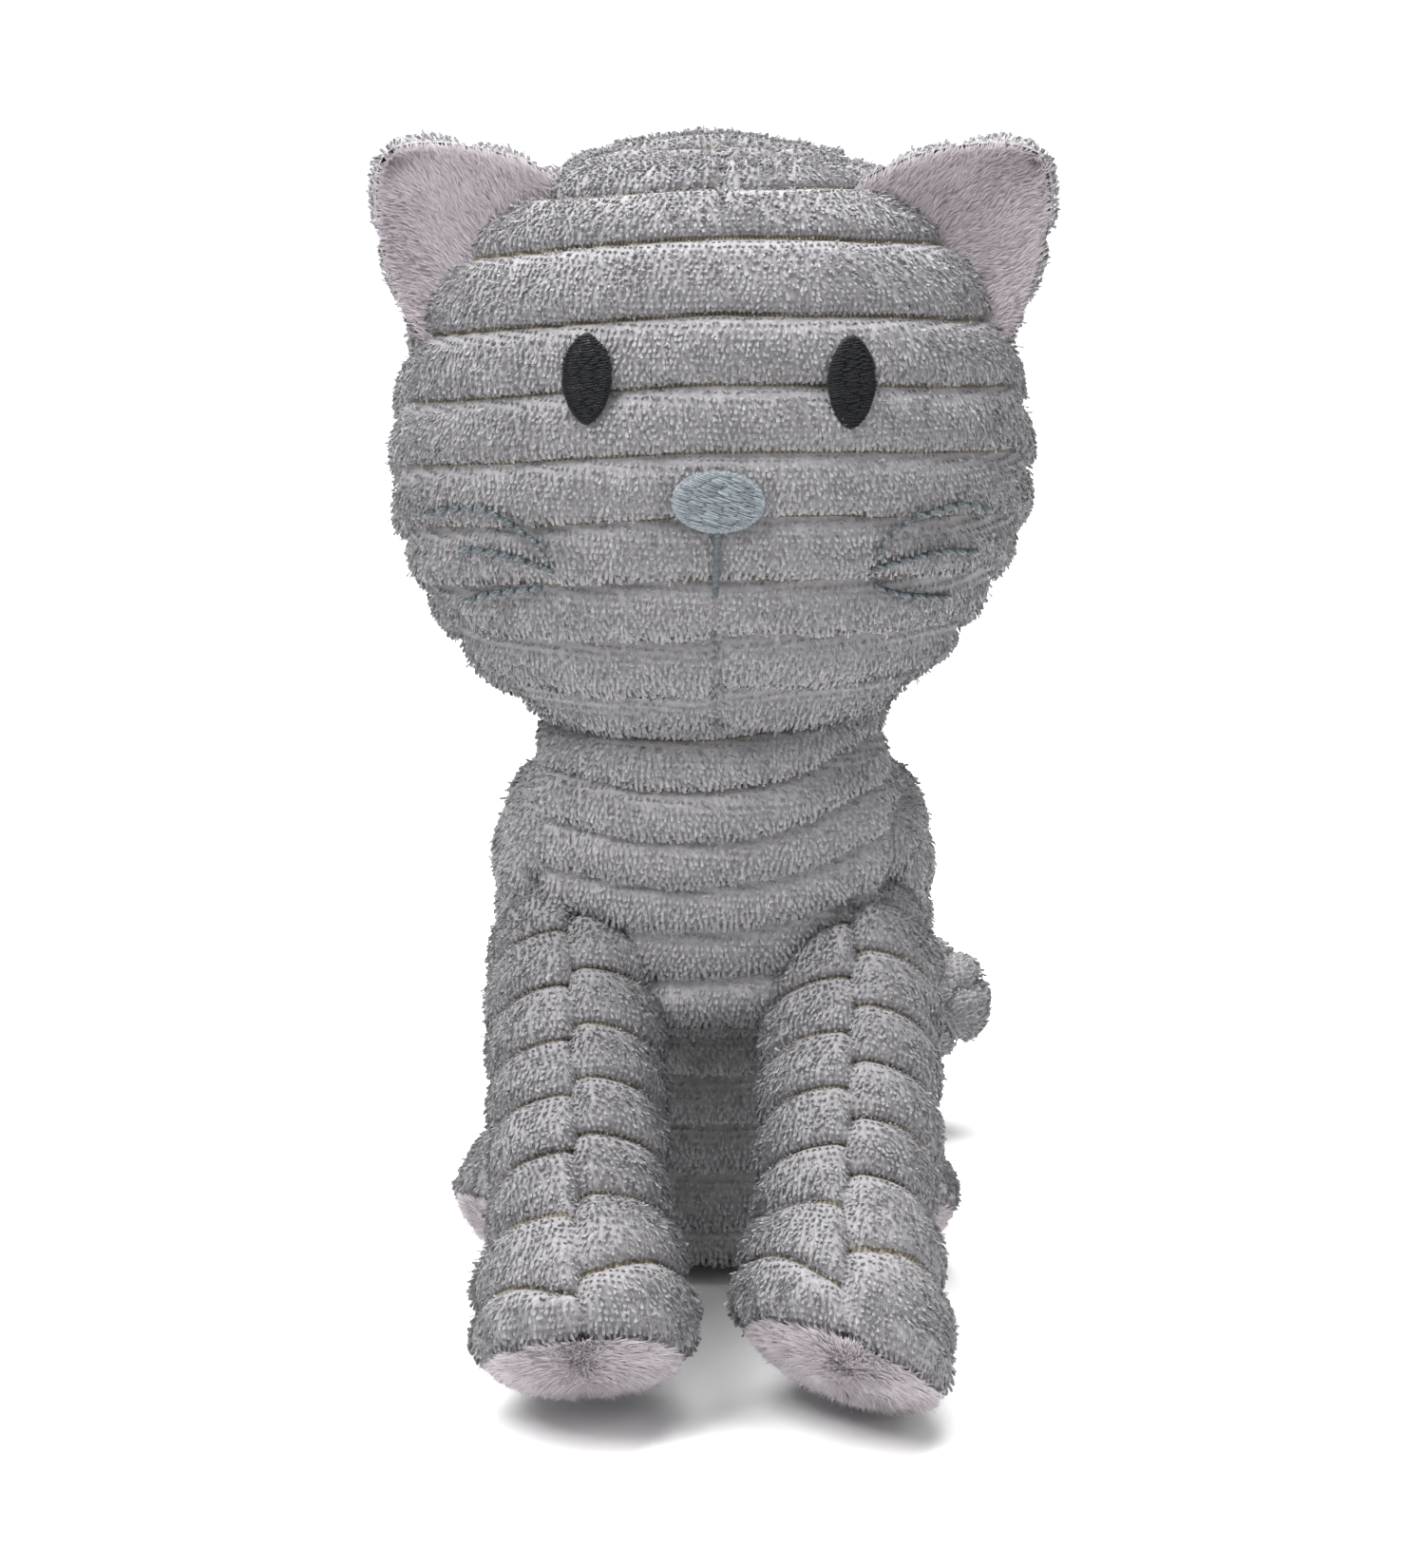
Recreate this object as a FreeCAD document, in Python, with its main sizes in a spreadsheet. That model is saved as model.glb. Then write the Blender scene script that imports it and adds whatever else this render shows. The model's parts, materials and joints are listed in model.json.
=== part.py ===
"""Sitting plush cat: sewn fabric panels over stuffing, with limbs, tail, ears and head that bend.

Frame: millimetres, +Z up, -Y is the way the face looks, +X is on the right hand of someone who
faces the cat. The origin is the middle of the flat seat, on the surface it sits on.
"""
import FreeCAD, Part
import math
import os
import Sketcher

Vector = FreeCAD.Vector
Rotation = FreeCAD.Rotation
Placement = FreeCAD.Placement

X_AXIS = Vector(1, 0, 0)
Y_AXIS = Vector(0, 1, 0)
Z_AXIS = Vector(0, 0, 1)
REACH = 400.0      # size of the cutting blocks, larger than the whole object

# Driving dimensions, by alias.
SIZES = {
    # fabric and gaps
    "skin": 2.6,               # plush with its pile pressed flat
    "body_gap": 0.6,           # clear space between parts that move on each other
    "layer_gap": 0.15,         # between a skin and its stuffing
    "thread_height": 1.0,
    # head
    "head_half_wide": 57.0,
    "head_half_deep": 48.0,
    "head_half_high": 52.0,
    "head_middle_y": -30.0,
    "head_middle_z": 151.0,
    "head_seam_y": -40.0,      # seam between the face and the back of the head
    # neck
    "neck_pivot_z": 95.0,
    "neck_ball": 22.5,
    # torso
    "seat_round": 39.5,
    "seat_middle_y": -2.0,
    "seat_middle_z": 20.0,
    "collar_round": 34.5,
    "collar_middle_z": 84.0,
    "collar_top_z": 96.0,
    "chest_half_wide": 29.0,   # chest seams, left and right
    "chest_fold_z": 54.0,
    "chest_seam_y": -30.0,     # where the chest and belly panels end toward the back
    "belly_seam_y": -12.0,
    "seat_thick": 3.0,
    "bag_half_wide": 18.0,
    "bag_half_deep": 12.5,
    "bag_half_high": 10.0,
    "bag_middle_y": 5.0,
    "bag_middle_z": 15.5,
    "bag_cloth": 0.8,
    # front legs
    "shoulder_x": 25.0,
    "shoulder_y": -44.0,
    "shoulder_z": 65.6,
    "foreleg_slant": 46.0,
    "foreleg_ball": 16.0,
    "foreleg_tube": 15.0,
    "foreleg_long": 69.8,
    "forefoot_half_wide": 18.5,
    "forefoot_half_deep": 19.5,
    "forefoot_half_high": 14.0,
    # hind legs
    "hip_x": 28.0,
    "hip_y": -12.0,
    "hip_z": 14.2,
    "hindleg_splay": 12.0,
    "hindleg_ball": 13.6,
    "hindleg_tube": 12.8,
    "hindleg_long": 22.0,
    "hindfoot_half_wide": 12.9,
    "hindfoot_half_deep": 12.9,
    "hindfoot_half_high": 11.0,
    # tail
    "tail_root_x": 8.0,
    "tail_root_y": 32.0,
    "tail_root_z": 13.0,
    "tail_thick": 10.6,
    "tail_bend": 34.0,
    "tail_turn": 105.0,
    "tail_rise": 18.0,
    # how far from its pivot each limb is cleared
    "foreleg_sweep": 26.0,
    "hindleg_sweep": 33.5,
    "tail_sweep": 26.0,
    "sole_share": 0.45,        # how far down the foot's half height its sole starts
    # ears
    "ear_gap": 1.6,
    "ear_slot_deep": 13.0,
    "ear_middle_x": 36.5,
    "ear_middle_y": -46.0,
    "ear_middle_z": 184.5,
    "ear_base_slope": 45.5,
    "ear_half_base": 18.5,
    "ear_long": 28.0,
    "ear_root_thick": 3.6,
    "ear_root_deep": 2.0,      # how far the ear is sunk in its seam
    "ear_tip_round": 6.0,
    # embroidery
    "eye_half_wide": 4.2,
    "eye_half_high": 7.4,
    "eye_spacing": 22.0,       # from the middle line
    "eye_z": 166.5,
    "nose_half_wide": 8.0,
    "nose_half_high": 5.4,
    "nose_z": 147.0,
    "mouth_gap": 0.4,
    "mouth_wide": 1.4,
    "mouth_high": 10.8,
    "whisker_long": 21.0,
    "whisker_wide": 1.3,
    "whisker_middle_x": 38.0,
}

# Height of each whisker's middle, and how many degrees it rises toward the cheek.
WHISKERS = ((140.0, 16.0), (134.3, 8.0), (128.5, -7.0))
PATCH_DEPTH = 60.0         # how far a stitched outline is pushed through the head to cut its patch
TIP_TOUCH = (0.8, 0.6)     # where an ear's straight sides meet its round tip, in shares of the radius

# Swing of each moving part, degrees. Clearances are cut for the whole swing.
FORELEG_SWING = (-45.0, 10.0)
HINDLEG_SWING = (-30.0, 8.0)
TAIL_SWING = (-25.0, 25.0)
EAR_FOLD = (-25.0, 25.0)

document = FreeCAD.newDocument("plush_cat")
sheet = document.addObject("Spreadsheet::Sheet", "sizes")
parts = []


def fill_sheet():
    for row, (alias, value) in enumerate(SIZES.items(), start=1):
        sheet.set("A%d" % row, alias)
        sheet.set("B%d" % row, str(value))
        sheet.setAlias("B%d" % row, alias)
    document.recompute()


def bind(item, **formulas):
    """Tie properties of an object to cells of the sheet."""
    for name, formula in formulas.items():
        item.setExpression(name, formula)
    return item


def new(kind, name):
    return document.addObject(kind, name)


def cut(name, base, *tools):
    result = new("Part::Cut", name)
    result.Base = base
    result.Tool = tools[0] if len(tools) == 1 else fuse(name + "_tools", *tools)
    return result


def common(name, first, second):
    result = new("Part::Common", name)
    result.Base = first
    result.Tool = second
    return result


def fuse(name, *shapes):
    result = new("Part::MultiFuse", name)
    result.Shapes = list(shapes)
    return result


def keep(item, label):
    """Record an object as a finished sub-part."""
    item.Label = label
    parts.append(item)
    return item


def block(name, low, high):
    """A cutting block between two corners, each given in numbers."""
    item = new("Part::Box", name)
    item.Length = high[0] - low[0]
    item.Width = high[1] - low[1]
    item.Height = high[2] - low[2]
    item.Placement = Placement(Vector(*low), Rotation())
    return item


def half_space(name, axis, side, offset, middle=Vector(0, 0, 0), rotation=Rotation()):
    """A big block on one side of a plane square to a local axis, in a turned frame."""
    low = [-REACH, -REACH, -REACH]
    high = [REACH, REACH, REACH]
    if side > 0:
        low[axis] = offset
    else:
        high[axis] = offset
    item = block(name, low, high)
    corner = Vector(*low)
    item.Placement = Placement(middle, rotation).multiply(Placement(corner, Rotation()))
    return item


def ellipsoid(name, wide, deep, high, middle, rotation=Rotation()):
    """An ellipsoid whose three half sizes are formulas on the sheet."""
    item = new("Part::Ellipsoid", name)
    bind(item, Radius1=high, Radius2=wide, Radius3=deep)
    item.Angle1 = -90
    item.Angle2 = 90
    item.Angle3 = 360
    item.Placement = Placement(middle, rotation)
    return item


def ball(name, radius, middle):
    item = new("Part::Sphere", name)
    bind(item, Radius=radius)
    item.Placement = Placement(middle, Rotation())
    return item


def rod(name, radius, height, middle, rotation=Rotation()):
    """A cylinder from a point along the local +Z of a turned frame."""
    item = new("Part::Cylinder", name)
    bind(item, Radius=radius, Height=height)
    item.Placement = Placement(middle, rotation)
    return item


def torso_solid(name, shrink):
    """A round seat, a body that narrows as it leans forward, and a round top round the neck."""
    sizes = document.sizes
    low = Vector(0, sizes.seat_middle_y, sizes.seat_middle_z)
    high = Vector(0, sizes.head_middle_y, sizes.collar_middle_z)
    lean = Rotation(Z_AXIS, high.sub(low))
    trunk = new("Part::Cone", name + "_trunk")
    bind(trunk, Radius1="sizes.seat_round - (%s)" % shrink, Radius2="sizes.collar_round - (%s)" % shrink)
    trunk.Height = high.sub(low).Length
    trunk.Placement = Placement(low, lean)
    return fuse(name, ball(name + "_seat", "sizes.seat_round - (%s)" % shrink, low), trunk,
                ball(name + "_collar", "sizes.collar_round - (%s)" % shrink, high))


def sweep_space(name, wide, thick, long, frames):
    """Boxes that reach down the local -Z of each turned frame: together they clear a whole swing."""
    boxes = []
    for index, frame in enumerate(frames):
        slot = new("Part::Box", "%s_slot_%d" % (name, index))
        bind(slot, Length="2 * (%s)" % wide, Width="2 * (%s)" % thick, Height=long)
        document.recompute([slot])
        corner = Vector(-slot.Length.Value / 2, -slot.Width.Value / 2, -slot.Height.Value)
        slot.Placement = frame.multiply(Placement(corner, Rotation()))
        boxes.append(slot)
    return boxes


def swing_angles(limits):
    """Both limits and the angle halfway."""
    return (limits[0], (limits[0] + limits[1]) / 2, limits[1])


def leg_rotation(kind, side):
    """Turn from hanging straight down to the leg's own direction."""
    sizes = document.sizes
    if kind == "front":
        return Rotation(X_AXIS, -sizes.foreleg_slant)
    return Rotation(Z_AXIS, side * sizes.hindleg_splay).multiply(Rotation(X_AXIS, -90))


def leg_pivot(kind, side):
    sizes = document.sizes
    if kind == "front":
        return Vector(side * sizes.shoulder_x, sizes.shoulder_y, sizes.shoulder_z)
    return Vector(side * sizes.hip_x, sizes.hip_y, sizes.hip_z)


LEG_WORDS = {
    "front": ("foreleg", "forefoot", FORELEG_SWING),
    "hind": ("hindleg", "hindfoot", HINDLEG_SWING),
}


def leg_clearance(kind, side):
    """The space that a leg's top sweeps in the torso, with a gap all round."""
    leg, _, swing = LEG_WORDS[kind]
    name = "%s_%s" % (kind, side_word(side))
    pivot = leg_pivot(kind, side)
    turn = leg_rotation(kind, side)
    frames = [Placement(pivot, Rotation(X_AXIS, angle).multiply(turn)) for angle in swing_angles(swing)]
    width = "sizes.%s_tube + sizes.body_gap" % leg
    socket = ball(name + "_socket", "sizes.%s_ball + sizes.body_gap" % leg, pivot)
    return [socket] + sweep_space(name, width, width, "sizes.%s_sweep" % leg, frames)


def tail_pivot():
    sizes = document.sizes
    return Vector(sizes.tail_root_x, sizes.tail_root_y, sizes.tail_root_z)


def tail_tube(name, radius):
    """The tail's bent tube: an arc that leaves the back and curves to the viewer's right."""
    sizes = document.sizes
    item = new("Part::Torus", name)
    bind(item, Radius1="sizes.tail_bend", Radius2=radius, Angle3="sizes.tail_turn")
    rise = Placement(tail_pivot(), Rotation(Y_AXIS, -sizes.tail_rise))
    arc = Placement(Vector(sizes.tail_bend, 0, 0), Rotation(Z_AXIS, 180 - sizes.tail_turn))
    item.Placement = rise.multiply(arc)
    return item


def tail_tip():
    """Middle of the tail's far end."""
    sizes = document.sizes
    turn = math.radians(sizes.tail_turn)
    reach = Vector(sizes.tail_bend * (1 - math.cos(turn)), sizes.tail_bend * math.sin(turn), 0)
    return tail_pivot().add(Rotation(Y_AXIS, -sizes.tail_rise).multVec(reach))


def tail_clearance():
    backward = Rotation(X_AXIS, 90)
    frames = [Placement(tail_pivot(), Rotation(Z_AXIS, angle).multiply(backward))
              for angle in swing_angles(TAIL_SWING)]
    width = "sizes.tail_thick + sizes.body_gap"
    return [ball("tail_socket", width, tail_pivot())] + sweep_space(
        "tail", width, width, "sizes.tail_sweep", frames)


def ear_frame(side, fold=0.0):
    """Local X runs along the ear's base; local Z points to the ear's tip."""
    sizes = document.sizes
    middle = Vector(side * sizes.ear_middle_x, sizes.ear_middle_y, sizes.ear_middle_z)
    slope = Rotation(Y_AXIS, side * sizes.ear_base_slope)
    return Placement(middle, slope.multiply(Rotation(X_AXIS, fold)))


def ear_clearance(side):
    """A fan of slots for the ear's root, over its whole fold."""
    frames = [ear_frame(side, 180 + angle) for angle in swing_angles(EAR_FOLD)]
    name = "ear_" + side_word(side)
    long = "sizes.ear_half_base + sizes.ear_gap"
    thick = "sizes.ear_root_thick + sizes.ear_gap"
    barrel = rod(name + "_barrel", thick, "2 * (%s)" % long, Vector(0, 0, 0))
    document.recompute([barrel])
    along = Placement(Vector(-barrel.Height.Value / 2, 0, 0), Rotation(Y_AXIS, 90))
    barrel.Placement = ear_frame(side).multiply(along)
    return [barrel] + sweep_space(name, long, thick, "sizes.ear_slot_deep", frames)


def side_word(side):
    """The sides are named as the viewer sees them from the front."""
    return "left" if side < 0 else "right"


def make_torso():
    sizes = document.sizes
    outer = torso_solid("torso_outline", "0")
    inner = torso_solid("torso_lining", "sizes.skin")
    core = torso_solid("torso_core", "sizes.skin + sizes.layer_gap")
    neck_pivot = Vector(0, sizes.head_middle_y, sizes.neck_pivot_z)
    moving = [ball("neck_socket", "sizes.neck_ball + sizes.body_gap", neck_pivot)] + tail_clearance()
    for side in (-1, 1):
        for kind in LEG_WORDS:
            moving += leg_clearance(kind, side)
    space = fuse("torso_spaces", *moving)
    top = sizes.collar_top_z
    fill_bottom = sizes.seat_thick + sizes.layer_gap
    cover_span = block("cover_span", (-REACH, -REACH, sizes.seat_thick), (REACH, REACH, top))
    seat_span = block("seat_span", (-REACH, -REACH, 0), (REACH, REACH, sizes.seat_thick))
    fill_span = block("fill_span", (-REACH, -REACH, fill_bottom), (REACH, REACH, top))
    shell = common("torso_cover", cut("torso_shell", outer, inner), cover_span)
    cover = cut("torso_open_cover", shell, space)
    keep(cut("seat", common("seat_slab", outer, seat_span), space), "seat_panel")
    wide = sizes.chest_half_wide
    chest_y = sizes.chest_seam_y
    belly_y = sizes.belly_seam_y
    fold_z = sizes.chest_fold_z
    chest = block("chest_strip", (-wide, -REACH, fold_z), (wide, chest_y, REACH))
    belly = block("belly_strip", (-wide, -REACH, -REACH), (wide, belly_y, fold_z))
    back = fuse("back_strip",
                block("upper_back_strip", (-wide, chest_y, fold_z), (wide, REACH, REACH)),
                block("lower_back_strip", (-wide, belly_y, -REACH), (wide, REACH, fold_z)))
    keep(common("chest", cover, chest), "chest_panel")
    keep(common("belly", cover, belly), "belly_panel")
    keep(common("back", cover, back), "back_panel")
    for side in (-1, 1):
        word = side_word(side)
        strip = half_space("side_strip_" + word, 0, side, side * wide)
        keep(common("side_" + word, cover, strip), "side_panel_" + word)
    bag_middle = Vector(0, sizes.bag_middle_y, sizes.bag_middle_z)
    bag = ellipsoid("bag_outline", "sizes.bag_half_wide", "sizes.bag_half_deep",
                    "sizes.bag_half_high", bag_middle)
    bag_inside = ellipsoid("bag_inside", "sizes.bag_half_wide - sizes.bag_cloth",
                           "sizes.bag_half_deep - sizes.bag_cloth",
                           "sizes.bag_half_high - sizes.bag_cloth", bag_middle)
    bag_space = ellipsoid("bag_space", "sizes.bag_half_wide + sizes.layer_gap",
                          "sizes.bag_half_deep + sizes.layer_gap",
                          "sizes.bag_half_high + sizes.layer_gap", bag_middle)
    keep(cut("bag_cloth_shell", bag, bag_inside), "pellet_bag")
    keep(ellipsoid("pellets", "sizes.bag_half_wide - sizes.bag_cloth - sizes.layer_gap",
                   "sizes.bag_half_deep - sizes.bag_cloth - sizes.layer_gap",
                   "sizes.bag_half_high - sizes.bag_cloth - sizes.layer_gap", bag_middle), "pellet_fill")
    padding = cut("torso_padding", common("torso_core_span", core, fill_span), bag_space)
    keep(cut("torso_fill", padding, space), "torso_stuffing")


def make_neck():
    sizes = document.sizes
    pivot = Vector(0, sizes.head_middle_y, sizes.neck_pivot_z)
    keep(ball("neck_ball", "sizes.neck_ball", pivot), "neck_stuffing")


def head_solid(name, grow):
    sizes = document.sizes
    middle = Vector(0, sizes.head_middle_y, sizes.head_middle_z)
    return ellipsoid(name, "sizes.head_half_wide + (%s)" % grow, "sizes.head_half_deep + (%s)" % grow,
                     "sizes.head_half_high + (%s)" % grow, middle)


def make_head():
    sizes = document.sizes
    pivot = Vector(0, sizes.head_middle_y, sizes.neck_pivot_z)
    recess = ball("neck_recess", "sizes.neck_ball + sizes.body_gap", pivot)
    space = fuse("head_spaces", recess, *ear_clearance(-1), *ear_clearance(1))
    shell = cut("head_shell", head_solid("head_outline", "0"), head_solid("head_lining", "-sizes.skin"), space)
    keep(common("face", shell, half_space("face_side", 1, -1, sizes.head_seam_y)), "face_panel")
    keep(common("nape", shell, half_space("nape_side", 1, 1, sizes.head_seam_y)), "head_back_panel")
    keep(cut("head_fill", head_solid("head_core", "-sizes.skin - sizes.layer_gap"), space), "head_stuffing")


def oval_prism(name, wide, high, middle):
    """A flat oval standing in the XZ plane, pushed through along Y."""
    oval = new("Part::Ellipse", name + "_oval")
    upright = document.sizes.get(high.split(".")[1]) > document.sizes.get(wide.split(".")[1])
    bind(oval, MajorRadius=high if upright else wide, MinorRadius=wide if upright else high)
    turn = Rotation(X_AXIS, 90).multiply(Rotation(Z_AXIS, 90 if upright else 0))
    oval.Placement = Placement(middle, turn)
    prism = new("Part::Extrusion", name + "_prism")
    prism.Base = oval
    prism.DirMode = "Custom"
    prism.Dir = Vector(0, -1, 0)
    prism.LengthFwd = PATCH_DEPTH
    prism.Solid = True
    return prism


def bar_prism(name, middle, wide, high, tilt):
    """A straight bar of stitching, pushed through along Y. Tilt turns it about Y."""
    item = new("Part::Box", name)
    bind(item, Length=wide, Height=high)
    item.Width = PATCH_DEPTH
    sizes = document.sizes
    half = Vector(sizes.get(wide.split(".")[1]) / 2, 0, sizes.get(high.split(".")[1]) / 2)
    frame = Placement(middle, Rotation(Y_AXIS, tilt))
    item.Placement = frame.multiply(Placement(Vector(-half.x, -PATCH_DEPTH, -half.z), Rotation()))
    return item


def make_embroidery():
    sizes = document.sizes
    middle_y = sizes.head_middle_y
    layer = cut("thread_layer", head_solid("thread_top", "sizes.thread_height"),
                head_solid("thread_foot", "sizes.layer_gap"))
    for side in (-1, 1):
        word = side_word(side)
        eye = oval_prism("eye_" + word, "sizes.eye_half_wide", "sizes.eye_half_high",
                         Vector(side * sizes.eye_spacing, middle_y, sizes.eye_z))
        keep(common("eye_%s_patch" % word, layer, eye), "eye_%s_embroidery" % word)
    nose = oval_prism("nose", "sizes.nose_half_wide", "sizes.nose_half_high", Vector(0, middle_y, sizes.nose_z))
    keep(common("nose_patch", layer, nose), "nose_embroidery")
    mouth_z = sizes.nose_z - sizes.nose_half_high - sizes.mouth_high / 2 - sizes.mouth_gap
    mouth = bar_prism("mouth", Vector(0, middle_y, mouth_z), "sizes.mouth_wide", "sizes.mouth_high", 0.0)
    keep(common("mouth_patch", layer, mouth), "mouth_line_embroidery")
    for side in (-1, 1):
        word = side_word(side)
        bars = []
        for index, (height, tilt) in enumerate(WHISKERS):
            bars.append(bar_prism("whisker_%s_%d" % (word, index),
                                  Vector(side * sizes.whisker_middle_x, middle_y, height),
                                  "sizes.whisker_long", "sizes.whisker_wide", -side * tilt))
        group = fuse("whisker_bars_" + word, *bars)
        keep(common("whisker_patch_" + word, layer, group), "whiskers_" + word)


def padded_leg(kind, side):
    """Two sewn panels and a velour sole over a stuffed tube with a ball top and a wider foot."""
    leg, foot, _ = LEG_WORDS[kind]
    sizes = document.sizes
    word = side_word(side)
    name = "%s_leg_%s" % (kind, word)
    pivot = leg_pivot(kind, side)
    turn = leg_rotation(kind, side)
    frame = Placement(pivot, turn)
    length = sizes.get(leg + "_long")
    foot_middle = frame.multVec(Vector(0, 0, -length))
    down = turn.multiply(Rotation(X_AXIS, 180))

    def solid(label, shrink):
        return fuse(label,
                    ball(label + "_ball", "sizes.%s_ball - (%s)" % (leg, shrink), pivot),
                    rod(label + "_tube", "sizes.%s_tube - (%s)" % (leg, shrink), "sizes.%s_long" % leg,
                        pivot, down),
                    ellipsoid(label + "_foot", "sizes.%s_half_wide - (%s)" % (foot, shrink),
                              "sizes.%s_half_deep - (%s)" % (foot, shrink),
                              "sizes.%s_half_high - (%s)" % (foot, shrink), foot_middle, turn))

    shell = cut(name + "_shell", solid(name + "_outline", "0"), solid(name + "_lining", "sizes.skin"))
    sole_plane = -length - sizes.get(foot + "_half_high") * sizes.sole_share
    upper = half_space(name + "_upper", 2, 1, sole_plane, pivot, turn)
    lower = half_space(name + "_lower", 2, -1, sole_plane, pivot, turn)
    upper_shell = common(name + "_tube_shell", shell, upper)
    outward = half_space(name + "_outward", 0, side, 0.0, pivot, turn)
    inward = half_space(name + "_inward", 0, -side, 0.0, pivot, turn)
    keep(common(name + "_outer", upper_shell, outward), name + "_outer_panel")
    keep(common(name + "_inner", upper_shell, inward), name + "_inner_panel")
    keep(common(name + "_pad", shell, lower), name + "_sole")
    keep(solid(name + "_fill", "sizes.skin + sizes.layer_gap"), name + "_stuffing")


def make_tail():
    def solid(label, shrink):
        radius = "sizes.tail_thick - (%s)" % shrink
        return fuse(label, ball(label + "_root", radius, tail_pivot()),
                    tail_tube(label + "_tube", radius),
                    ball(label + "_tip", radius, tail_tip()))

    shell = cut("tail_shell", solid("tail_outline", "0"), solid("tail_lining", "sizes.skin"))
    rise = Rotation(Y_AXIS, -document.sizes.tail_rise)
    for word, side in (("top", 1), ("bottom", -1)):
        keep(common("tail_" + word, shell, half_space("tail_half_" + word, 2, side, 0.0, tail_pivot(), rise)),
             "tail_%s_panel" % word)
    keep(solid("tail_fill", "sizes.skin + sizes.layer_gap"), "tail_stuffing")


def origin_plane(body, role):
    """One of a body's own reference planes."""
    return next(item for item in body.Origin.OriginFeatures if item.Role == role)


def ear_outline(sketch):
    """A triangle on its base with a rounded tip, tied to the sheet."""
    half_base = document.sizes.ear_half_base
    root = document.sizes.ear_root_deep
    tip = document.sizes.ear_tip_round
    centre = document.sizes.ear_long - tip
    touch = Vector(tip * TIP_TOUCH[0], centre + tip * TIP_TOUCH[1], 0)
    mirrored = Vector(-touch.x, touch.y, 0)
    low_left = Vector(-half_base, -root, 0)
    low_right = Vector(half_base, -root, 0)
    sketch.addGeometry(Part.LineSegment(low_left, low_right))
    sketch.addGeometry(Part.LineSegment(low_right, touch))
    arc = Part.Circle(Vector(0, centre, 0), Z_AXIS, tip)
    start = math.atan2(TIP_TOUCH[1], TIP_TOUCH[0])
    sketch.addGeometry(Part.ArcOfCircle(arc, start, math.pi - start))
    sketch.addGeometry(Part.LineSegment(mirrored, low_left))
    sketch.addConstraint([
        Sketcher.Constraint("Coincident", 0, 2, 1, 1),
        Sketcher.Constraint("Tangent", 1, 2, 2, 1),
        Sketcher.Constraint("Tangent", 2, 2, 3, 1),
        Sketcher.Constraint("Coincident", 3, 2, 0, 1),
        Sketcher.Constraint("Symmetric", 0, 1, 0, 2, -2),
        Sketcher.Constraint("PointOnObject", 2, 3, -2),
    ])
    measures = (
        ("DistanceX", (0, 1, 0, 2), 2 * half_base, "2 * sizes.ear_half_base"),
        ("DistanceY", (0, 1, -1, 1), root, "sizes.ear_root_deep"),
        ("DistanceY", (-1, 1, 2, 3), centre, "sizes.ear_long - sizes.ear_tip_round"),
        ("Radius", (2,), tip, "sizes.ear_tip_round"),
    )
    for kind, points, value, formula in measures:
        index = sketch.addConstraint(Sketcher.Constraint(kind, *points, value))
        sketch.setExpression("Constraints[%d]" % index, formula)


def make_ear(side):
    """Two flat layers sewn together at the rim: velour in front, plush behind."""
    word = side_word(side)
    for layer, backward in (("lining", False), ("back", True)):
        name = "ear_%s_%s" % (word, layer)
        body = new("PartDesign::Body", name + "_body")
        sketch = body.newObject("Sketcher::SketchObject", name + "_outline")
        sketch.AttachmentSupport = [(origin_plane(body, "XZ_Plane"), "")]
        sketch.MapMode = "FlatFace"
        ear_outline(sketch)
        pad = body.newObject("PartDesign::Pad", name + "_pad")
        pad.Profile = sketch
        pad.Reversed = backward
        bind(pad, Length="sizes.ear_root_thick")
        body.Placement = ear_frame(side)
        keep(body, name)


def check_and_export():
    document.recompute()
    for item in document.Objects:
        state = item.State
        if "Invalid" in state or "Error" in state:
            raise RuntimeError("failed object: " + item.Name)
    os.makedirs("parts", exist_ok=True)
    for item in parts:
        shape = item.Shape
        if shape.isNull() or not shape.isValid():
            raise RuntimeError("bad shape: " + item.Label)
        shape.exportStep(os.path.join("parts", item.Label + ".step"))
        box = shape.BoundBox
        print("%-32s solids %d volume %9.1f  x %6.1f %6.1f  y %6.1f %6.1f  z %6.1f %6.1f" % (
            item.Label, len(shape.Solids), shape.Volume,
            box.XMin, box.XMax, box.YMin, box.YMax, box.ZMin, box.ZMax))


fill_sheet()
make_torso()
make_neck()
make_head()
make_embroidery()
for front_or_hind in LEG_WORDS:
    for leg_side in (-1, 1):
        padded_leg(front_or_hind, leg_side)
make_tail()
for ear_side in (-1, 1):
    make_ear(ear_side)
check_and_export()
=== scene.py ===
"""Looks of the sitting plush cat: ribbed plush covers with real pile, velour, and embroidery.

Shapes are worked out in millimetres in the frame's own axes and turned into metres as each mesh is
made. Every cover is a grid of points with a rib count at each point; the ribs, seams and pile all
come from that.
"""
import json
import math

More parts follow.
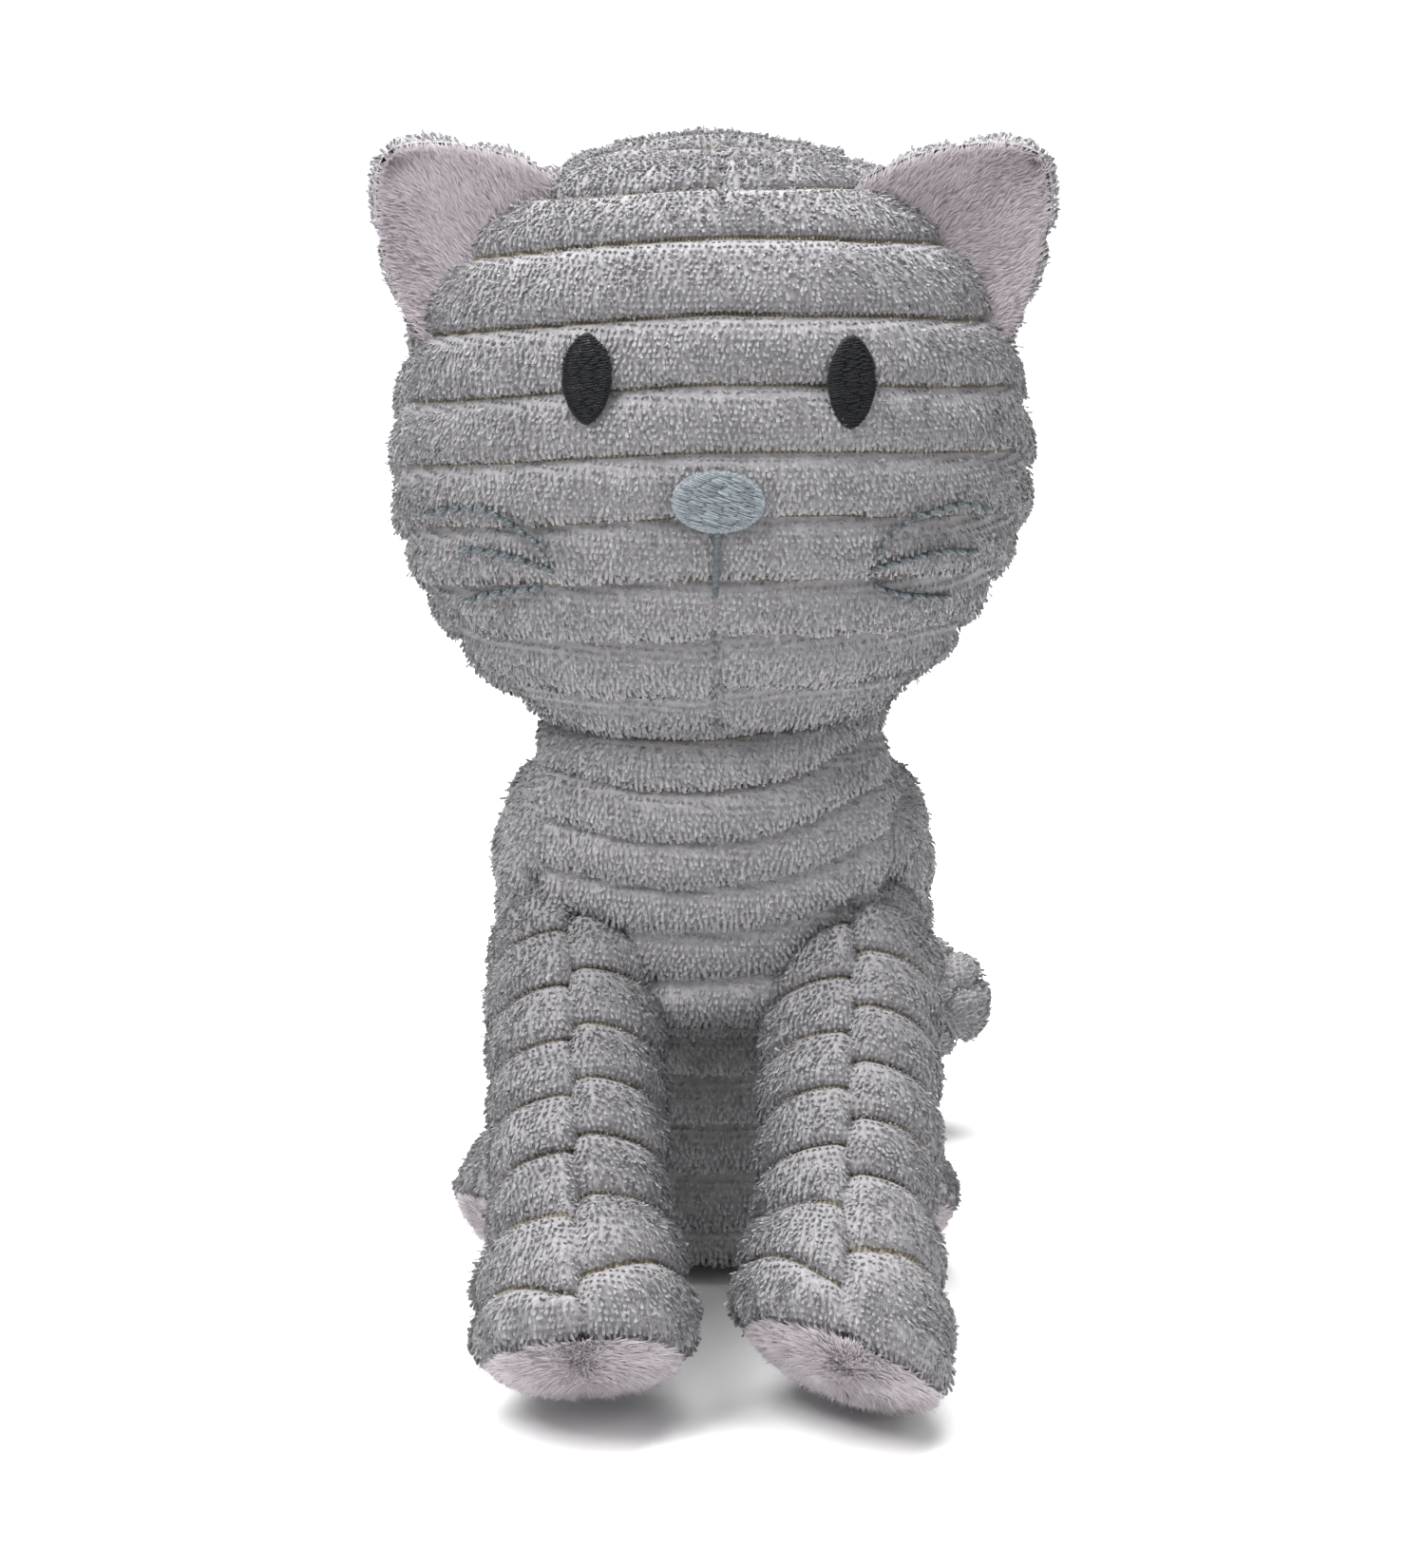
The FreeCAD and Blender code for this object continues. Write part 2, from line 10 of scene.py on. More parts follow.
import bpy
import numpy as np
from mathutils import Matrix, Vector


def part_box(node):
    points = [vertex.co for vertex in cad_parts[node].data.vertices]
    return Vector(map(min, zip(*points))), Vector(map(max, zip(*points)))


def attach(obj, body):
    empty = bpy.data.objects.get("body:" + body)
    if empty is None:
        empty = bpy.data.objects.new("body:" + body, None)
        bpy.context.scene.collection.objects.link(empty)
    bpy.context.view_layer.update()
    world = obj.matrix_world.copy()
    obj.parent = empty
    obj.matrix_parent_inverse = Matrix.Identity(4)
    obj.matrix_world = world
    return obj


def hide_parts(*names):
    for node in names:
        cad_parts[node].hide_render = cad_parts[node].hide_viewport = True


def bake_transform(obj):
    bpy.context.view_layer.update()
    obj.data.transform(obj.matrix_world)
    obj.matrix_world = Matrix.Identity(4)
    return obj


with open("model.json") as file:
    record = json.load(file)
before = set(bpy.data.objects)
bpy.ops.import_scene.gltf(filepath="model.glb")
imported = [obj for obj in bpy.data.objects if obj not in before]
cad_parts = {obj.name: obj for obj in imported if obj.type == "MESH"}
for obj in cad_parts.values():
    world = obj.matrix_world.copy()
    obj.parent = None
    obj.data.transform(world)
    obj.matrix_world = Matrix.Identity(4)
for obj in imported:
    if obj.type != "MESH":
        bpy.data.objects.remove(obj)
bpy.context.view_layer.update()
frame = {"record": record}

MM = 0.001
RIB_PITCH = 10.6          # from one knit groove to the next
RIB_HIGH = 2.7            # how far a rib's crown stands over its groove
RIB_SAG = 0.9             # how far a rib's crown hangs toward the way the pile lies
TUFT_PITCH = 1.05         # from one tuft of the pile to the next
TUFT_BLADES = 7
TUFT_SPREAD = 0.46        # radius of a tuft at its root
PILE_LONG = 1.45
PILE_WIDE = 0.46          # width of one blade of the plush at its blunt tip
NAP_WIDE = 0.34           # width of one blade of the velour at its root
FIBRE_CLEAR = 0.35        # share of a fibre's light that comes through from its other side
STRAY_SHARE = 0.06        # how many blades stand out of their tuft
SEAT_BARE = 2.4           # the pile starts this far over the floor, so no tip sinks into it
NECK_SHOWN = 116.0        # the neck's pile ends here, inside the head
STITCH_PITCH = 0.95       # from one rung of the groove's knit ladder to the next
GROOVE_EDGE = 0.462       # khaki shows where the cloth is further than this from a rib's middle
CROWN_SHARE = 0.97        # how much of a rib's pitch its rounded crown takes up
X, Y, Z = np.eye(3)
RNG = np.random.default_rng(2024)


# ---------------------------------------------------------------- places from the frame

def box_of(*nodes):
    """Lowest and highest corner of some CAD nodes together, in millimetres."""
    corners = np.array([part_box(node) for node in nodes]) / MM
    return corners[:, 0].min(0), corners[:, 1].max(0)


def joint_entry(name):
    return next(item for item in frame["record"]["behaviour"]["joints"] if item["name"] == name)


def joint_place(name):
    return np.array(joint_entry(name)["pos_m"]) / MM


# ---------------------------------------------------------------- small maths

def smooth(low, high, value):
    """Rises from 0 at low to 1 at high."""
    part = np.clip((value - low) / (high - low), 0, 1)
    return part * part * (3 - 2 * part)


def bump(value, width):
    """1 at zero, falling smoothly to 0 at plus and minus the width."""
    return 1 - smooth(0, width, np.abs(value))


def unit(vectors):
    return vectors / np.maximum(np.linalg.norm(vectors, axis=-1, keepdims=True), 1e-9)


def noise(points, cell, seed):
    """Smooth noise from -1 to 1, one random value for each cell corner."""
    table = np.random.default_rng(seed).uniform(-1, 1, 8192)
    scaled = points / cell
    whole = np.floor(scaled).astype(np.int64)
    part = scaled - whole
    part = part * part * (3 - 2 * part)
    total = 0
    for corner in np.ndindex(2, 2, 2):
        cube = whole + np.array(corner)
        index = (cube[..., 0] * 73856093 ^ cube[..., 1] * 19349663 ^ cube[..., 2] * 83492791) & 8191
        weight = np.prod(np.where(np.array(corner), part, 1 - part), axis=-1)
        total = total + table[index] * weight
    return total


def curve(knots, at):
    """A smooth curve through knots, given as rows of (place, value, ...), read at some places."""
    knots = np.array(knots, float)
    places, values = knots[:, 0], knots[:, 1:]
    steps = np.diff(places)
    slopes = np.diff(values, axis=0) / steps[:, None]
    tangent = np.vstack([slopes[:1], (slopes[1:] + slopes[:-1]) / 2, slopes[-1:]])
    flat = np.vstack([slopes[:1] * 0, slopes[1:] * slopes[:-1] <= 0, slopes[:1] * 0]) > 0
    tangent[flat] = 0
    at = np.clip(at, places[0], places[-1])
    span = np.clip(np.searchsorted(places, at) - 1, 0, len(steps) - 1)
    part = ((at - places[span]) / steps[span])[..., None]
    step = steps[span][..., None]
    before, after = values[span], values[span + 1]
    result = (before * (2 * part ** 3 - 3 * part ** 2 + 1) + after * (3 * part ** 2 - 2 * part ** 3)
              + tangent[span] * step * (part ** 3 - 2 * part ** 2 + part)
              + tangent[span + 1] * step * (part ** 3 - part ** 2))
    return [result[..., index] for index in range(result.shape[-1])]


# ---------------------------------------------------------------- grids of cloth

class Cloth:
    """A grid of points, rows by columns, with what its surface needs at each point."""

    def __init__(self, points, rib, along, comb, ring=True):
        self.points = points
        self.rib = rib                    # ribs counted across the cloth; grooves at whole numbers
        self.along = along                # millimetres along the groove
        self.comb = comb                  # the way the pile lies
        self.ring = ring                  # the last column joins the first
        self.push = np.zeros(rib.shape)   # extra height along the normal
        self.pile = np.ones(rib.shape)    # length of the pile, as a share
        self.high = np.full(rib.shape, RIB_HIGH)

    def normals(self, points=None):
        points = self.points if points is None else points
        if self.ring:
            across = np.roll(points, -1, 1) - np.roll(points, 1, 1)
        else:
            across = np.gradient(points, axis=1)
        down = np.gradient(points, axis=0)
        return unit(np.cross(down, across))

    def turn_over(self):
        """Reverses the columns, so that the normals point the other way."""
        for key in ("points", "rib", "along", "comb", "push", "pile", "high"):
            setattr(self, key, getattr(self, key)[:, ::-1])

    def crown(self):
        """Height of the rib's rounded profile, from 0 in the groove to 1."""
        place = np.abs(2 * (self.rib - np.floor(self.rib)) - 1)
        return np.sqrt(1 - np.clip(place / CROWN_SHARE, 0, 1) ** 2.3)

    def seam(self, distance, deep, width):
        """Pulls the cloth in along a sewn line, and shortens the pile there."""
        self.push -= deep * bump(distance, width)
        self.pile *= 1 - 0.55 * bump(distance, width * 0.6)

    def relief(self):
        """Points with ribs, seams and the unevenness of hand-turned stuffing."""
        lumps = 0.5 * noise(self.points, 17.0, 5) + 0.25 * noise(self.points, 6.0, 6)
        crown = self.crown() * self.high
        height = crown * (1 + 0.16 * noise(self.points, 9.0, 7)) + self.push + lumps
        sag = crown / RIB_HIGH * RIB_SAG
        return self.points + self.normals() * height[..., None] + self.comb * sag[..., None]


def grid_faces(rows, columns, ring):
    """Corner numbers of the quads of a grid, wound to face out."""
    across = columns if ring else columns - 1
    row, column = np.meshgrid(np.arange(rows - 1), np.arange(across), indexing="ij")
    after = (column + 1) % columns
    quads = np.stack([row * columns + column, (row + 1) * columns + column,
                      (row + 1) * columns + after, row * columns + after], -1)
    return quads.reshape(-1, 4)


def new_mesh(name, points, faces, material, floats=(), normals=None):
    """A mesh object from points in millimetres and faces that all have the same number of corners."""
    mesh = bpy.data.meshes.new(name)
    corners = faces.shape[1]
    mesh.vertices.add(len(points))
    mesh.vertices.foreach_set("co", (np.asarray(points) * MM).astype(np.float32).ravel())
    mesh.loops.add(faces.size)
    mesh.loops.foreach_set("vertex_index", faces.astype(np.int32).ravel())
    mesh.polygons.add(len(faces))
    mesh.polygons.foreach_set("loop_start", np.arange(0, faces.size, corners, dtype=np.int32))
    for key, values in floats:
        layer = mesh.attributes.new(key, "FLOAT", "POINT")
        layer.data.foreach_set("value", np.asarray(values, np.float32).ravel())
    mesh.update(calc_edges=True)
    mesh.polygons.foreach_set("use_smooth", np.ones(len(faces), bool))
    if normals is not None:
        mesh.normals_split_custom_set_from_vertices(normals.astype(np.float32))
    item = bpy.data.objects.new(name, mesh)
    bpy.context.scene.collection.objects.link(item)
    item.data.materials.append(material)
    return item


def spot_fields(cloth):
    """What pile needs at each point: place 0:3, normal 3:6, comb 6:9, pile share 9, rib count 10."""
    points = cloth.relief()
    fields = np.concatenate([points, cloth.normals(points), cloth.comb, cloth.pile[..., None],
                             cloth.rib[..., None]], -1)
    return np.concatenate([fields, fields[:, :1]], 1) if cloth.ring else fields


def scatter(cloth, per_mm2):
    """Random spots on a cloth, evenly spread over its area."""
    fields = spot_fields(cloth)
    a, b = fields[:-1, :-1], fields[:-1, 1:]
    c, d = fields[1:, :-1], fields[1:, 1:]
    area = np.linalg.norm(np.cross(d[..., :3] - a[..., :3], b[..., :3] - c[..., :3]), axis=-1) / 2
    wanted = area * per_mm2
    count = np.floor(wanted + RNG.random(wanted.shape)).astype(int).ravel()
    pick = np.repeat(np.arange(count.size), count)
    u, v = RNG.random((2, len(pick), 1))
    a, b, c, d = (field.reshape(-1, fields.shape[-1])[pick] for field in (a, b, c, d))
    return (1 - v) * ((1 - u) * a + u * b) + v * ((1 - u) * c + u * d)


def tuft_rows(cloth):
    """Spots for tufts, in staggered rows along the cloth."""
    fields = spot_fields(cloth)
    gaps = np.linalg.norm(np.diff(fields[..., :3], axis=0), axis=-1).mean(1)
    travel = np.concatenate([[0], np.cumsum(gaps)])
    found = []
    for order, place in enumerate(np.arange(0.3, travel[-1], TUFT_PITCH)):
        row = min(np.searchsorted(travel, place) - 1, len(gaps) - 1)
        part = (place - travel[row]) / max(gaps[row], 1e-6)
        line = fields[row] * (1 - part) + fields[row + 1] * part
        steps = np.linalg.norm(np.diff(line[:, :3], axis=0), axis=-1)
        along = np.concatenate([[0], np.cumsum(steps)])
        count = int(along[-1] / TUFT_PITCH)
        if count < 1:
            continue
        shift = 0.25 + 0.5 * (order % 2) + RNG.normal(0, 0.13, count)
        at = np.clip((np.arange(count) + shift) * along[-1] / count, 0, along[-1])
        found.append(np.stack([np.interp(at, along, column) for column in line.T], -1))
    return np.concatenate(found)


def grow(name, material, place, normal, comb, length, lift, blades, spread, wide, blunt):
    """Blades of pile: tufts of a few blades that close up toward their tip, pointed or blunt there."""
    comb = unit(comb - normal * (comb * normal).sum(-1, keepdims=True))
    aside = np.cross(normal, comb)
    swirl = 0.28 * noise(place, 9.0, 20)[:, None] + 0.24 * noise(place, 2.3, 22)[:, None]
    ruffle = 0.16 * noise(place, 2.6, 21)[:, None] + 0.14 * noise(place, 7.0, 24)[:, None]
    lean = unit(normal * (lift[:, None] + ruffle) + comb * (0.80 - ruffle) + aside * swirl
                + RNG.normal(size=place.shape) * 0.13)
    length = length * (1 + 0.20 * noise(place, 3.3, 23)) * RNG.uniform(0.85, 1.15, len(place))
    tone = RNG.random(len(place))
    place, normal, comb, aside, lean = (np.repeat(values, blades, 0)
                                        for values in (place, normal, comb, aside, lean))
    length, tone = np.repeat(length, blades), np.repeat(tone, blades)
    count = len(place)
    turn, reach = RNG.uniform(0, 2 * math.pi, (count, 1)), np.sqrt(RNG.random((count, 1))) * spread
    outward = comb * np.cos(turn) + aside * np.sin(turn)
    root = place + outward * reach
    tip = place + outward * reach * 0.35 + lean * (length * RNG.uniform(0.75, 1.08, count))[:, None]
    stray = RNG.random((count, 1)) < STRAY_SHARE
    tip = tip + np.where(stray, RNG.normal(size=(count, 3)) * 0.32 + normal * 0.15, 0)
    direction = unit(tip - root)
    start = root + direction * 0.10 * length[:, None]
    side = unit(np.cross(direction, normal + 0.5 * RNG.normal(size=(count, 3))))
    side *= np.sign((np.cross(side, direction) * normal).sum(-1, keepdims=True)) * wide / 2
    if blunt:
        corners = np.stack([start, tip + side, tip - side], 1).reshape(-1, 3)
        height = np.tile([0.0, 1.0, 1.0], count)
    else:
        corners = np.stack([start - side, start + side, tip], 1).reshape(-1, 3)
        height = np.tile([0.0, 0.0, 1.0], count)
    bend = outward * 0.5 * (reach / spread) + direction * 0.2
    facing = unit(normal + bend + 0.12 * RNG.normal(size=(count, 3)))
    tones = np.repeat(0.75 * tone + 0.25 * RNG.random(count), 3)
    return new_mesh(name, corners, np.arange(3 * count).reshape(-1, 3), material,
                    (("tone", tones), ("height", height)), np.repeat(facing, 3, 0))


def tufts(name, cloth, keep):
    """Plush pile on a ribbed cloth, shorter at the grooves. keep, if any, picks spots by place."""
    spots = tuft_rows(cloth)
    if keep is not None:
        spots = spots[keep(spots[:, :3])]
    from_groove = 0.5 - np.abs(spots[:, 10] - np.floor(spots[:, 10]) - 0.5)
    spots, from_groove = spots[from_groove > 0.032], from_groove[from_groove > 0.032]
    length = PILE_LONG * spots[:, 9] * (0.35 + 0.65 * smooth(0.03, 0.2, from_groove))
    normal, comb = unit(spots[:, 3:6]), spots[:, 6:9]
    hanging = smooth(-0.2, 0.6, (normal * comb).sum(-1))
    return grow(name, plush_pile, spots[:, :3], normal, comb, length, 0.42 + 0.35 * hanging,
                TUFT_BLADES, TUFT_SPREAD, PILE_WIDE, True)


def nap(name, cloth, material, per_mm2, long):
    """Velour's fine even nap: single blades at random places."""
    spots = scatter(cloth, per_mm2)
    lift = np.full(len(spots), 0.36)
    return grow(name, material, spots[:, :3], unit(spots[:, 3:6]), spots[:, 6:9],
                long * spots[:, 9], lift, 1, 0.2, NAP_WIDE, False)


def skin(name, cloth, material):
    """The cloth's own surface, with its rib count and its length along the rib for the material."""
    points = cloth.relief()
    faces = grid_faces(*cloth.rib.shape, cloth.ring)
    floats = (("rib", cloth.rib), ("along", cloth.along))
    return new_mesh(name, points.reshape(-1, 3), faces, material, floats)


# ---------------------------------------------------------------- materials

def shader(name, roughness, sheen=0.0, sheen_roughness=0.5):
    material = bpy.data.materials.new(name)
    material.use_nodes = True
    surface = material.node_tree.nodes["Principled BSDF"]
    surface.inputs["Roughness"].default_value = roughness
    surface.inputs["Sheen Weight"].default_value = sheen
    surface.inputs["Sheen Roughness"].default_value = sheen_roughness
    surface.inputs["Specular IOR Level"].default_value = 0.25
    return material, material.node_tree, surface


def node(tree, kind, **settings):
    item = tree.nodes.new(kind)
    for key, value in settings.items():
        if key in item.inputs:
            item.inputs[key].default_value = value
        else:
            setattr(item, key, value)
    return item


def attribute(tree, key):
    return node(tree, "ShaderNodeAttribute", attribute_name=key).outputs["Fac"]


def number(tree, operation, first, second=None, third=None):
    """A maths node; each operand is a socket or a number."""
    item = tree.nodes.new("ShaderNodeMath")
    item.operation = operation
    for socket, value in zip(item.inputs, (first, second, third)):
        if value is None:
            continue
        if isinstance(value, (int, float)):
            socket.default_value = value
        else:
            tree.links.new(value, socket)
    return item.outputs[0]


def blend_colours(tree, factor, first, second):
    """Mixes two colours, each a socket or three numbers."""
    item = tree.nodes.new("ShaderNodeMix")
    item.data_type = "RGBA"
    if isinstance(factor, (int, float)):
        item.inputs[0].default_value = factor
    else:
        tree.links.new(factor, item.inputs[0])
    for socket, value in ((item.inputs[6], first), (item.inputs[7], second)):
        if isinstance(value, tuple):
            socket.default_value = (*value, 1)
        else:
            tree.links.new(value, socket)
    return item.outputs[2]


def place_noise(tree, scale, detail=2.0):
    """Noise fixed to the object, with features per millimetre."""
    where = tree.nodes.new("ShaderNodeTexCoord")
    item = node(tree, "ShaderNodeTexNoise", Scale=scale / MM, Detail=detail)
    tree.links.new(where.outputs["Object"], item.inputs["Vector"])
    return item.outputs["Fac"]


GREY_LIGHT = (0.560, 0.550, 0.572)
GREY_DARK = (0.415, 0.406, 0.420)
# The roots' colour is painted shade: darker where the blades shade each other near the cloth.
GREY_ROOT_SHADE = (0.130, 0.126, 0.130)
KHAKI = (0.235, 0.205, 0.155)
KHAKI_DARK = (0.100, 0.088, 0.070)
# Velour of the soles, brightened as painted light for the light thrown up by the floor; the ear linings
# below are the same velour without it.
SOLE_VELOUR_LIGHT_PAINTED_LIT = (0.860, 0.812, 0.850)
VELOUR_DARK_PAINTED_LIT = (0.650, 0.600, 0.640)
LINING_LIGHT = (0.700, 0.650, 0.690)
LINING_DARK = (0.500, 0.455, 0.490)
# The velour's root colour is painted shade between the blades.
VELOUR_ROOT_SHADE = (0.300, 0.262, 0.284)


def pile_material(name, light, dark, root, streak):
    """Tufts: darker at the root as painted shade between the blades, each blade its own tone, with broad
    lighter and darker patches from noise.
    """
    material, tree, surface = shader(name, 0.9, 0.12, 0.45)
    patches = place_noise(tree, streak)
    broad = number(tree, "MULTIPLY", patches, 0.45)
    tone = number(tree, "MULTIPLY_ADD", attribute(tree, "tone"), 0.55, broad)
    colour = blend_colours(tree, tone, dark, light)
    # Painted shade: each blade gets darker toward its root, as if shaded by the blades round it.
    height = number(tree, "MULTIPLY_ADD", attribute(tree, "height"), 0.62, 0.38)
    shade = blend_colours(tree, height, root, colour)
    tree.links.new(shade, surface.inputs["Base Color"])
    # Fibre lets light through, so a blade is lit from both its sides.
    through = tree.nodes.new("ShaderNodeBsdfTranslucent")
    tree.links.new(shade, through.inputs["Color"])
    mix = tree.nodes.new("ShaderNodeMixShader")
    mix.inputs[0].default_value = FIBRE_CLEAR
    tree.links.new(surface.outputs[0], mix.inputs[1])
    tree.links.new(through.outputs[0], mix.inputs[2])
    output = next(item for item in tree.nodes if item.type == "OUTPUT_MATERIAL")
    tree.links.new(mix.outputs[0], output.inputs["Surface"])
    return material


def knit_material():
    """The knitted ground: grey under the pile, mixed with the pile roots' painted shade, khaki with a
    ladder of stitches in the groove.
    """
    material, tree, surface = shader("knit_ground", 0.92, 0.1)
    rib = number(tree, "FRACT", attribute(tree, "rib"))
    middle = number(tree, "ABSOLUTE", number(tree, "SUBTRACT", rib, 0.5))
    groove = number(tree, "GREATER_THAN", middle, GROOVE_EDGE)
    rungs = number(tree, "MULTIPLY", attribute(tree, "along"), 2 * math.pi / STITCH_PITCH)
    ladder = number(tree, "MULTIPLY_ADD", number(tree, "SINE", rungs), 0.5, 0.5)
    stitches = blend_colours(tree, ladder, KHAKI_DARK, KHAKI)
    grains = place_noise(tree, 1.1, 3.0)
    # Painted shade: the grey ground under the pile is mixed toward the roots' dark colour.
    ground = blend_colours(tree, grains, GREY_ROOT_SHADE, GREY_DARK)
    tree.links.new(blend_colours(tree, groove, ground, stitches), surface.inputs["Base Color"])
    return material


def velour_ground():
    material, tree, surface = shader("velour_ground", 0.9, 0.2)
    grains = place_noise(tree, 0.8, 3.0)
    # Painted shade: the ground under the nap is mixed toward the roots' dark colour; its other tone is the
    # velour's darker tone, brightened as painted light.
    tree.links.new(blend_colours(tree, grains, VELOUR_ROOT_SHADE, VELOUR_DARK_PAINTED_LIT), surface.inputs["Base Color"])
    return material


def thread_material(name, light, dark, roughness, gloss):
    """Lustrous embroidery thread, a little darker from strand to strand."""
    material, tree, surface = shader(name, roughness)
    surface.inputs["Specular IOR Level"].default_value = gloss
    surface.inputs["Anisotropic"].default_value = 0.5
    grains = number(tree, "MULTIPLY_ADD", place_noise(tree, 1.6, 2.0), 0.6,
                    number(tree, "MULTIPLY", attribute(tree, "tone"), 0.4))
    tree.links.new(blend_colours(tree, grains, dark, light), surface.inputs["Base Color"])
    return material


plush_pile = pile_material("plush_pile", GREY_LIGHT, GREY_DARK, GREY_ROOT_SHADE, 0.09)
# The soles' pile is a lit copy of the linings' velour, brightened as painted light.
sole_pile_painted_lit = pile_material("sole_pile_painted_lit", SOLE_VELOUR_LIGHT_PAINTED_LIT, VELOUR_DARK_PAINTED_LIT, VELOUR_ROOT_SHADE, 0.16)
lining_pile = pile_material("lining_pile", LINING_LIGHT, LINING_DARK, VELOUR_ROOT_SHADE, 0.16)
knit_ground = knit_material()
velour_base = velour_ground()
eye_thread = thread_material("eye_thread", (0.008, 0.009, 0.012), (0.001, 0.0012, 0.002), 0.45, 0.18)
nose_thread = thread_material("nose_thread", (0.290, 0.335, 0.365), (0.014, 0.020, 0.026), 0.3, 0.8)
whisker_thread = thread_material("whisker_thread", (0.120, 0.145, 0.160), (0.008, 0.012, 0.016), 0.35, 0.6)


def cover(name, cloth, body, stands_for, blended=None, halves=(("", None),)):
    """A plush cover: its knitted ground and its pile, riding or blended together."""
    ground = skin(name, cloth, knit_ground)
    for piece in [ground] + [tufts(name + word + "_pile", cloth, keep) for word, keep in halves]:
        if blended:
            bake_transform(piece)
        else:
            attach(piece, body)
    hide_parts(*stands_for)


def velour(name, cloth, body, stands_for, material=sole_pile_painted_lit, long=2.5, per_mm2=13.0):
    """A velour piece: its woven ground and its nap."""
    ground = skin(name, cloth, velour_base)
    pile = nap(name + "_pile", cloth, material, per_mm2, long)
    for piece in (ground, pile):
        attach(piece, body)
    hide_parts(*stands_for)


# ---------------------------------------------------------------- head

HEAD_ROWS, HEAD_COLUMNS = 210, 250
neck_pivot = joint_place("head_turn")
head_low, head_high = box_of("face_panel", "head_back_panel")
HEAD_MIDDLE = np.array([-0.4, (head_low[1] + head_high[1]) / 2, (head_low[2] + head_high[2]) / 2 - 1.0])
HEAD_HALF = np.array([53.0, 45.6, 54.6])
CHIN_HALF = 49.0
SEAM_BACK = 10.0          # the face's seam lies this far in front of the head's middle
CHIN_DART, CROWN_DART = 0.9, 1.8    # how far the face's two darts lie to the right of its middle
FACE_GROOVE = -1.7        # height of one groove over the head's middle
# How much lower a groove is at the cheeks, by height over the head's middle.
GROOVE_DROP = ((-50, -1.0), (-33, -0.6), (-22, 1.6), (-12, 3.2), (10, 3.6), (30, 4.0), (60, 4.0))
# Height of a groove over the head's middle on the crown, and how many ribs up it is from FACE_GROOVE.
CROWN_RIBS = ((-60, -5.51), (31.6, 3.14), (41.8, 4.05), (48.6, 5.0), (54.2, 6.1))


def head_point(turn, high):
    """Point of the smooth head at a turn about Z and a height over the head's middle."""
    top = high >= 0
    power = np.where(top, 2.2, 2.0)
    tall = np.where(top, HEAD_HALF[2], CHIN_HALF)
    level = np.clip(1 - np.abs(high / tall) ** power, 0, 1) ** (1 / power)
    cosine, sine = np.cos(turn), np.sin(turn)
    reach = (np.abs(cosine / HEAD_HALF[0]) ** 2.25 + np.abs(sine / HEAD_HALF[1]) ** 2.25) ** (-1 / 2.25)
    aside = cosine * reach * level
    aside = aside * (1 - 0.045 * (aside > 0) * smooth(-5, -25, high))
    return HEAD_MIDDLE + np.stack([aside, sine * reach * level, high], -1)


def head_rib(points):
    """Ribs run level across the face, hang a little at the cheeks, and close up toward the crown."""
    local = points - HEAD_MIDDLE
    drop, = curve(GROOVE_DROP, local[..., 2])
    level = local[..., 2] + drop * (local[..., 0] / 46) ** 2 - 0.025 * local[..., 0]
    front, = curve(CROWN_RIBS, level)
    # Over the crown the ribs still run from side to side, counted by how far round the head they are.
    steep = np.arctan2(local[..., 2] / HEAD_HALF[2], -local[..., 1] / HEAD_HALF[1])
    over = CROWN_RIBS[-1][1] + (steep - 1.30) * HEAD_HALF[1] / RIB_PITCH
    crown = smooth(50, 55, local[..., 2])
    return front * (1 - crown) + over * crown - FACE_GROOVE / RIB_PITCH


def make_head():
    """The head's one cover, ribbed all round, with the face's seam and its two darts."""
    rise = np.linspace(math.pi / 2, -math.pi / 2, HEAD_ROWS)[:, None]
    turn = np.linspace(0, 2 * math.pi, HEAD_COLUMNS, endpoint=False)[None, :]
    tall = np.where(rise > 0, HEAD_HALF[2], CHIN_HALF)
    nearly = 0.99999          # leaves the top and bottom rings a hair wide, so their normals hold
    high = np.sign(rise) * np.abs(np.sin(rise)) ** 0.93 * tall * nearly
    points = head_point(turn + 0 * high, high + 0 * turn)
    rib = head_rib(points) + 0.03 * noise(points, 15.0, 3)
    local = points - HEAD_MIDDLE
    back = local[..., 1] > -SEAM_BACK
    rib = np.where(back, rib + 0.37, rib)
    chin = (local[..., 2] < -14) & (local[..., 0] > CHIN_DART) & ~back
    rib = rib - 0.15 * chin * smooth(-14, -26, local[..., 2]) * bump(local[..., 0], 34)
    brow = (local[..., 2] > 47) & (local[..., 0] > 1.5) & ~back
    rib = rib + 0.2 * brow * bump(local[..., 0], 22)
    along = np.where(np.abs(local[..., 2]) > 50, local[..., 0], turn * 52.0)
    cloth = Cloth(points, rib, along, np.broadcast_to(unit(-Z - 0.5 * Y), points.shape))
    away = 60.0               # keeps a dart from showing outside its own stretch
    cloth.seam(local[..., 1] + SEAM_BACK, 1.8, 2.6)
    cloth.seam(local[..., 0] - CHIN_DART + away * (local[..., 2] > -16) + away * back, 1.1, 1.8)
    cloth.seam(local[..., 0] - CROWN_DART + away * (local[..., 2] < 44) + away * back, 1.0, 1.6)
    ground = skin("head_cover", cloth, knit_ground)
    seam_y = HEAD_MIDDLE[1] - SEAM_BACK
    outside = HEAD_MIDDLE[2] - CHIN_HALF + 5
    face_pile = tufts("face_pile", cloth,
                      lambda at: (at[:, 1] < seam_y) & (at[:, 2] > outside))
    back_pile = tufts("head_back_pile", cloth,
                      lambda at: (at[:, 1] >= seam_y) & (at[:, 2] > outside))
    for piece in (ground, face_pile, back_pile):
        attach(piece, "head")
    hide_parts("face_panel", "head_back_panel", "head_stuffing")
    return cloth


# ---------------------------------------------------------------- torso

